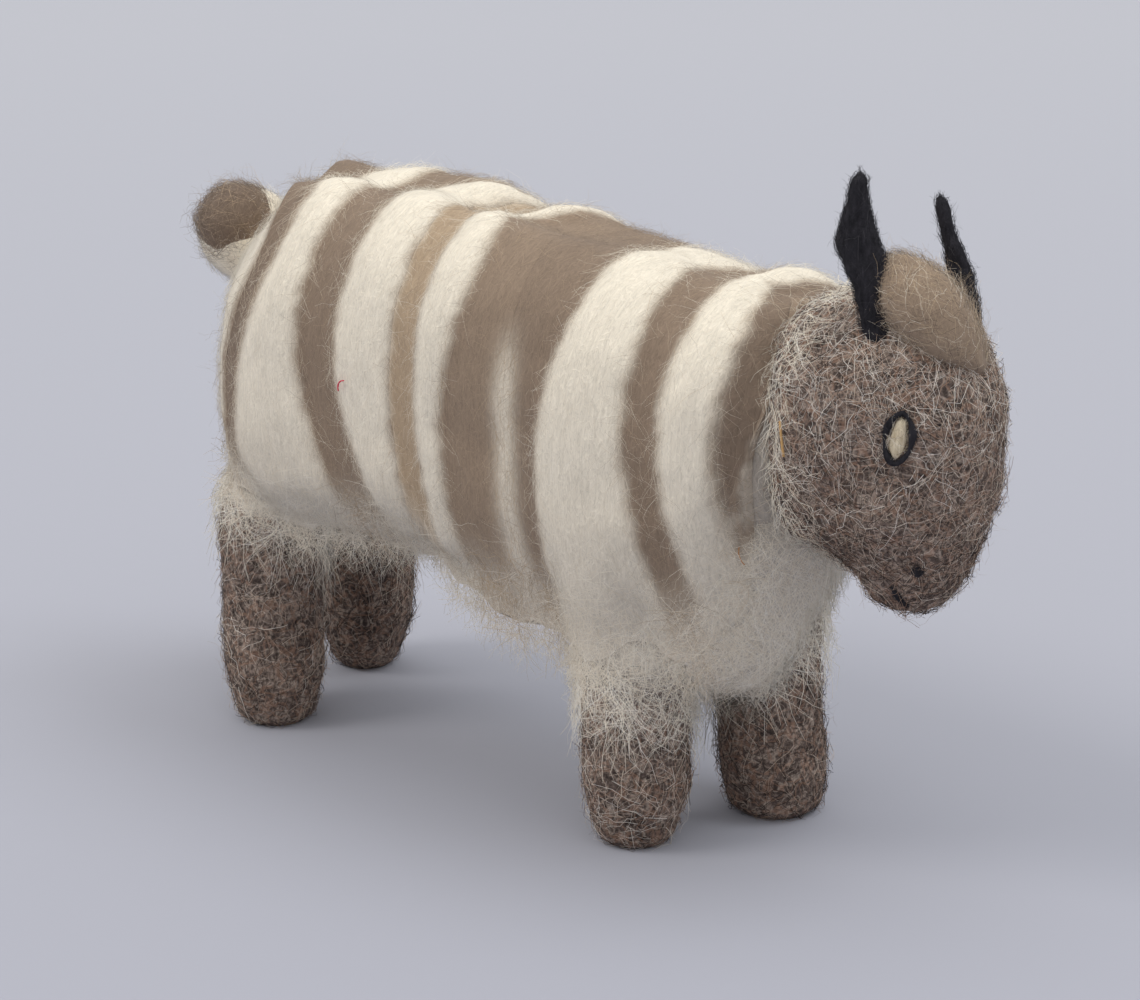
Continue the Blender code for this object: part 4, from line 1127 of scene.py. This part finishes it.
def legPiece(name, seed):
    own, given = legs[name], legRings[name]
    heights = mix(given[0, 2], given[-1, 2], np.linspace(0, 1, leg["levels"]) ** leg["spacing"])
    radii = flowThrough(given[:, 2], given[:, 3], heights)
    radii = radii * mix(own["foot"], 1.0, ease(0.0, leg["footTall"], heights))
    rings = circleRings(legCentre(own, given, heights), radii, leg["sides"])
    lumpy = swell(rings, leg["lumps"], leg["lumpSize"], seed)
    rings = mix(rings, lumpy, ease(0.0, leg["smoothSole"], rings[..., 2:]))
    rings[..., 2] = np.maximum(rings[..., 2], 0.0)
    rings[0, :, 2] = 0.0
    height = rings[..., 2]
    settle(clad(loft(name, rings), "coarseGround"), name)
    shown = ease(*leg["bareSole"], height) * ease(leg["buried"] + leg["buriedOver"], leg["buried"], height)
    # own tint includes the painted shade of the left legs
    tint = leg["patches"] * bumpy(rings, leg["patchSize"], seed + 1) + own["tint"]
    coatRings(name + "_felt", rings, (0, 0, -1), coarseCoat, "coarseFibre", "coarse_felt", 200 + seed,
              leg["thickness"], loose=False, tint=tint, shag=shown)
    outward = unit((rings - rings.mean(1, keepdims=True))[..., :2])
    height = height - own["slant"] * (outward @ cuff["slantWay"])
    wispEnd, wispFull = (own["covered"] + over for over in leg["wispEnd"])
    loose = ease(own["bare"], own["covered"], height) ** leg["wispPower"] * ease(wispEnd, wispFull, height)
    gaps = bumpy(rings * [1.0, 1.0, leg["wispStretch"]], leg["wispSize"], seed + 2)
    loose = loose * ease(-leg["wispGaps"], leg["wispGaps"], gaps)
    coatRings(name + "_wisps", rings + leg["wispOut"] * outOf(rings), (0, 0, -1), wispCoat, "creamFibre",
              "cream_wool", 240 + seed, shag=loose)
    cuffPiece(name, own, given, seed)


for legIndex, legName in enumerate(legNames):
    legPiece(legName, 10 + 3 * legIndex)
print("legs felted")


# Head, in slices from muzzle to crown: height from the neck's middle, back and front from it, half width

head = {
    "slices": ((-31.2, 14.5, 23.0, 2.8), (-30.0, 12.0, 25.5, 6.4), (-26.0, 9.0, 28.4, 9.2),
               (-21.0, 1.5, 30.4, 11.6), (-18.0, -9.0, 31.6, 13.8), (-11.0, -14.0, 33.6, 16.6),
               (-4.0, -14.0, 34.4, 17.6), (4.0, -14.0, 34.6, 18.0), (11.0, -13.0, 33.2, 17.4),
               (17.0, -10.0, 29.6, 15.0), (21.0, -4.0, 24.6, 11.0), (23.0, 3.0, 20.0, 6.0),
               (23.6, 9.0, 14.0, 1.5)),
    "power": 2.35, "levels": 84, "sides": 110, "lumps": 0.8, "lumpSize": 8.5, "knots": 0.35, "knotSize": 2.2,
    "inset": 1.5, "leastHalf": 0.8, "chinShare": 0.93, "crownShare": 0.97, "backGap": 0.3, "smoothBack": 5.0,
    "fill": 0.9, "bareBack": (0.5, 2.0), "halves": (16.0, 18.0), "chinOut": 0.2, "crownOut": 0.1,
    "tint": 0.18, "patches": 0.28, "patchSize": 6.5,
    "fade": -0.42, "paintedShadeFrom": 12.0, "paintedShadeTo": -22.0,      # painted shade: muzzle is darker than the crown, as if the crown were lit from above
    "ruff": 6.0, "ruffCoat": 0.9,      # reach and thickness of the pale fuzz that laps over it from the neck
    "ruffFull": 0.6, "ruffStart": (0.2, 0.5), "ruffTint": -0.12, "ruffReach": 0.8,
}
neckHeight = body["widest"] + body["neckRise"]


def headGrid():
    slices = np.array(head["slices"])
    index = np.arange(len(slices))
    at = np.linspace(0, index[-1], head["levels"])
    height, back, front, half = (flowThrough(index, slices[:, i], at)[:, None] for i in range(4))
    height = height * np.where(height < 0, head["chinShare"], head["crownShare"])
    front, half = front - head["inset"], np.maximum(half - head["inset"], head["leastHalf"])
    turns = fullTurn(head["sides"])
    x = (back + front) / 2 + (front - back) / 2 * rounded(np.cos(turns), head["power"])
    y = half * rounded(np.sin(turns), head["power"])
    return xyz(neckX + np.maximum(x, head["backGap"]), y, neckHeight + height)


def headPiece():
    rings = headGrid()
    lumpy = swell(swell(rings, head["lumps"], head["lumpSize"], 30), head["knots"], head["knotSize"], 31)
    rings = mix(rings, lumpy, ease(neckX, neckX + head["smoothBack"], rings[..., :1]))
    chin, crown = rings[0].mean(0) - [0, 0, head["chinOut"]], rings[-1].mean(0) + [0, 0, head["crownOut"]]
    settle(clad(loft("head", rings, chin, crown), "coarseGround"), "head")
    ahead, height = rings[..., 0] - neckX, rings[..., 2] - neckHeight
    shown = ease(*head["bareBack"], ahead)
    tint = head["tint"] + head["patches"] * bumpy(rings, head["patchSize"], 31)
    # painted shade, darker from the crown down to the muzzle
    tint = tint + head["fade"] * ease(head["paintedShadeFrom"], head["paintedShadeTo"], height)
    front = ease(*head["halves"], ahead)
    for name, half, seed in (("head_felt_front", front, 310), ("head_felt_back", 1 - front, 320)):
        coatRings(name, rings, (0, 0, -1), coarseCoat, "coarseFibre", "coarse_felt", seed, loose=False,
                  tint=tint, shag=shown * half)
    near = ease(head["ruff"], head["ruffFull"], ahead) * ease(*head["ruffStart"], ahead)
    coatRings("neck_wisps", rings, (0.7, 0, -0.7), wispCoat, "creamFibre", "cream_wool", 330,
              head["ruffCoat"], tint=head["ruffTint"], shag=near, reach=head["ruffReach"])


headPiece()
print("head felted")


# Forelock, an upswept taupe mound between the horns, and the tail, a cream stub with a taupe tuft on top

mound = {"levels": 24, "sides": 36, "lumps": 0.7, "lumpSize": 6.0, "fill": 0.6}
forelock = {"slope": 0.62, "slopeWay": (0.72, 0.7, 0.0), "bend": 0.01, "under": 0.5,
            "shift": (-0.5, -1.7, -4.2), "grow": (1.4, 1.7, 2.9), "comb": (-0.7, -0.7, 0.8), "tint": 0.02}
tail = {"stubShift": (0.6, 0.0, 2.0), "stubSize": 0.88, "stubComb": (-0.4, 0, -1),
        "tuftShift": (2.0, 0.4, -1.4), "tuftSunk": 0.88, "tuftSize": (1.06, 1.06, 1.05),
        "tuftComb": (-0.6, -0.4, 0.4), "tuftTint": -0.2}
softCoat = coatTree(
    "softCoat",
    dict(density=2.0, length=5.0, width=0.075, lift=0.9, curl=4.6, curlSize=2.2, stray=1.4, drift=1.6,
         driftSize=6.0, tone=0.48, toneSpread=0.5, soft=0.65),
    dict(density=0.4, length=5.5, uneven=0.5, width=0.05, lift=2.6, bow=1.1, curl=5.5, curlSize=2.6,
         stray=1.8, tone=0.62, toneSpread=0.4, soft=0.6, points=6),
)


def moundPiece(name, centre, radii, direction, kind, colour, seed, tint=0.0, slope=0.0, coat=softCoat):
    rings = ballRings(radii, mound["levels"], mound["sides"])
    if slope:
        rings = rings * np.where(rings[..., 2:] < 0, [1, 1, forelock["under"]], 1)
    ahead = rings @ np.array(forelock["slopeWay"])
    rings = centre + rings
    rings[..., 2] -= slope * (ahead + forelock["bend"] * ahead ** 2)
    rings = swell(rings, mound["lumps"], mound["lumpSize"], seed)
    base = loft(name, rings, start=rings[0].mean(0), end=rings[-1].mean(0))
    settle(dye(base, dyes[colour]), name)
    coatRings(name + "_fleece", rings, direction, coat, kind + "Fibre", kind + "_wool", 400 + seed,
              loose=kind == "cream", tint=tint)


def middleAndHalf(box):
    return (box[0] + box[1]) / 2, (box[1] - box[0]) / 2


lockMiddle, lockHalf = middleAndHalf(nodeBox("forelock"))
moundPiece("forelock", lockMiddle + forelock["shift"], lockHalf + forelock["grow"], forelock["comb"], "taupe",
           "taupe", 40, forelock["tint"], forelock["slope"])
stubMiddle, stubHalf = middleAndHalf(nodeBox("tail_stub"))
moundPiece("tail_stub", stubMiddle + tail["stubShift"], stubHalf * tail["stubSize"], tail["stubComb"],
           "cream", "cream", 41, coat=combedCoat)
tuftMiddle, tuftHalf = middleAndHalf(nodeBox("tail_tuft"))
tuftMiddle[2] += tuftHalf[2] - tuftHalf[1] * tail["tuftSunk"]
moundPiece("tail_tuft", tuftMiddle + tail["tuftShift"], tuftHalf[1] * np.array(tail["tuftSize"]),
           tail["tuftComb"], "taupe", "taupeDark", 42, tail["tuftTint"])
print("forelock and tail set")


# Horns: twisted black rolls with a little fuzz

horn = {
    "levels": 44, "sides": 22, "twist": 0.07, "turns": 1.6, "lumps": 0.45, "lumpSize": 3.0, "fill": 0.9,
    "tip": 0.04, "tipEnd": 0.97, "tipOut": 0.4,
    "shares": (0.0, 0.25, 0.43, 0.61, 0.83, 1.0),      # places from root to tip
    "girth": {"horn_right": (0.95, 0.86, 0.84, 0.97, 0.8, 0.88),
              "horn_left": (1.0, 1.0, 0.9, 0.74, 0.76, 0.9)},
    "lean": {"horn_right": (1.2, 1.6, 1.7, -0.2, -0.6, -0.6), "horn_left": (1.5, 2.6, 2.9, 2.5, 1.0, 0.0)},
}
fuzzCoat = coatTree(
    "fuzzCoat",
    dict(density=3.0, length=2.8, uneven=0.5, width=0.08, lift=0.5, curl=1.6, curlSize=1.2, stray=1.2,
         tone=0.4, toneSpread=0.5, soft=0.3),
    dict(density=0.4, length=2.4, uneven=0.6, width=0.045, lift=1.2, bow=1.2, curl=2.0, curlSize=1.6,
         stray=3.0, tone=0.6, toneSpread=0.4, soft=0.3),
)


def hornPiece(name, seed):
    given = nodeRings(name)
    share = np.linspace(0, 1, horn["levels"])
    heights = np.linspace(given[0, 2], given[-1, 2], horn["levels"])
    cx, cy, radii = (flowThrough(given[:, 2], given[:, i], heights) for i in (0, 1, 3))
    high = np.clip((share - 1 + horn["tip"]) / horn["tip"], 0, horn["tipEnd"])
    radii = radii * np.sqrt(1 - high ** 2) * flowThrough(horn["shares"], horn["girth"][name], share)
    cx = cx + flowThrough(horn["shares"], horn["lean"][name], share)
    rings = circleRings(xyz(cx, cy, heights), radii, horn["sides"])
    climb = share * 2 * math.pi * horn["turns"]
    ridge = horn["twist"] * np.cos(2 * fullTurn(horn["sides"])[None] + climb[:, None]) * radii[:, None]
    rings = rings + outOf(rings) * ridge[..., None]
    rings = swell(rings, horn["lumps"], horn["lumpSize"], seed)
    ground = loft(name, rings, end=rings[-1].mean(0) + [0, 0, horn["tipOut"]])
    settle(clad(ground, "blackGround"), name)
    coatRings(name + "_fuzz", rings, (0, 0, 1), fuzzCoat, "blackFibre", "black_felt", 500 + seed)


hornPiece("horn_right", 50)
hornPiece("horn_left", 51)
print("horns rolled")


# Eyes, nostrils and mouth

face = {
    "levels": 14, "sides": 24, "lumps": 0.12, "lumpSize": 1.2, "fill": 0.9,
    "pelletOut": 1.15, "eyeSunk": 0.9, "eyeSize": (1.0, 0.74, 1.0),
    "rimRound": 14, "rimTurns": 48, "rimWobble": 0.22, "rimSlim": 0.88, "rimPoint": 0.3, "rimReach": 0.4,
    "nostrilSize": 0.75, "mouthSize": (0.9, 0.5, 0.8),
    "mouthShift": (-2.4, 0.0, -1.7), "nostrilShift": (0.0, 0.0, -0.8),      # where the needle left them
}


def pelletPiece(name, seed):
    centre, axes, reach = nodeFrame(name)
    part = name.split("_")[0]
    wool, slot = ("straw", "eye_wool") if part == "eye" else ("black", "black_felt")
    if part == "eye":
        centre = centre - axes[2] * face["eyeSunk"]
    else:
        wanted = Vector(centre + face[part + "Shift"]) * mm
        centre = np.array(grounds["head"].closest_point_on_mesh(wanted)[1]) / mm
    reach = reach * face[part + "Size"] * [1.0, 1.0, face["pelletOut"]]
    order = [1, 0, 2]
    rings = centre + ballRings(reach[order], face["levels"], face["sides"]) @ axes[order]
    rings = swell(rings, face["lumps"], face["lumpSize"], seed)
    base = loft(name, rings, start=rings[0].mean(0), end=rings[-1].mean(0))
    settle(clad(base, wool + "Ground"), name)
    coatRings(name + "_fuzz", rings, axes[0], fuzzCoat, wool + "Fibre", slot, 600 + seed)


def rimPiece(name, seed):
    centre, axes, reach = nodeFrame(name)
    centre = centre - axes[2] * face["eyeSunk"]
    axes, radius = axes[[1, 0, 2]], reach[2]
    turn, roll = np.meshgrid(fullTurn(face["rimTurns"]), fullTurn(face["rimRound"]), indexing="ij")
    thick = radius * (1 + face["rimWobble"] * np.sin(3 * turn + seed) + face["rimWobble"] * np.sin(5 * turn))
    outX, outY = np.cos(turn), np.sin(turn)
    # drawn to a point above and below
    wide = (reach[1] - radius) * face["rimSlim"] * (1 - face["rimPoint"] * outY ** 4)
    tall = reach[0] - radius
    over = thick * np.cos(roll)
    rings = centre + xyz(outX * (wide + over), outY * (tall + over), thick * np.sin(roll)) @ axes
    middle = centre + xyz(outX * wide, outY * tall, 0) @ axes
    base = makeObject(name, rings, quads(*rings.shape[:2], ringed=True, shut=True))
    settle(clad(base, "blackGround"), name)
    ends, middle = (shutGrid(shutGrid(grid, 0)) for grid in (rings, middle))
    root = scalp(name, ends, np.gradient(ends, axis=0), ends - middle, reach=face["rimReach"])
    growCoat(name + "_fuzz", root, fuzzCoat, "blackFibre", 700 + seed)


for sideIndex, sideName in enumerate(("right", "left")):
    pelletPiece("eye_pellet_" + sideName, 60 + sideIndex)
    rimPiece("eye_rim_" + sideName, 62 + sideIndex)
    pelletPiece("nostril_" + sideName, 64 + sideIndex)
    pelletPiece("mouth_stitch_" + sideName, 66 + sideIndex)
print("face set")


# Stray bits caught in the wool: the piece they lie on, where on its right side, and their form and colour

strays = {
    "red_fibre": {"on": "cream_strip_2", "x": -25.8, "height": 75.2, "length": 2.6, "tilt": 55.0, "bow": 0.7,
                  "width": 0.3, "colour": (214, 70, 92)},
    "straw_bit": {"on": "head", "x": 63.0, "height": 80.5, "length": 6.0, "tilt": 97.0, "bow": 0.1,
                  "width": 0.45, "colour": (206, 165, 112)},
    "tan_fibre": {"on": "taupe_strip_7", "x": 50.5, "height": 53.0, "length": 3.2, "tilt": 115.0, "bow": 0.5,
                  "width": 0.2, "colour": (186, 128, 72)},
}
strayShape = {"from": -30.0, "out": 0.7, "points": 9, "sides": 6, "roughness": 0.8}


def strayPiece(name, given):
    # short bent tube laid on the wool
    seek = Vector((given["x"] * mm, strayShape["from"] * mm, given["height"] * mm))
    _, spot, normal, _ = grounds[given["on"]].closest_point_on_mesh(seek)
    normal = np.array(normal)
    tilt = math.radians(given["tilt"])
    along = unit(np.array([math.cos(tilt), 0.0, math.sin(tilt)]) - normal * normal[2] * math.sin(tilt))
    across = np.cross(normal, along)
    share = np.linspace(-1, 1, strayShape["points"])
    path = np.array(spot) / mm + normal * strayShape["out"] + np.outer(share * given["length"] / 2, along)
    path = path + np.outer(given["bow"] * (1 - share ** 2), across)
    turns = fullTurn(strayShape["sides"])
    tube = np.outer(np.cos(turns), across) + np.outer(np.sin(turns), normal)
    piece = loft(name, path[:, None] + tube[None] * given["width"] / 2)
    material, _, shader = shaderOf(name, strayShape["roughness"], 0.0)
    shader.inputs["Base Color"].default_value = paint(*given["colour"])
    piece.data.materials.append(material)
    settle(piece)


for strayName, strayGiven in strays.items():
    strayPiece(strayName, strayGiven)
print("stray fibres laid")


# Triangle count of the fibres, and the end


print("fibre triangles:", triangleTotal["fibres"])
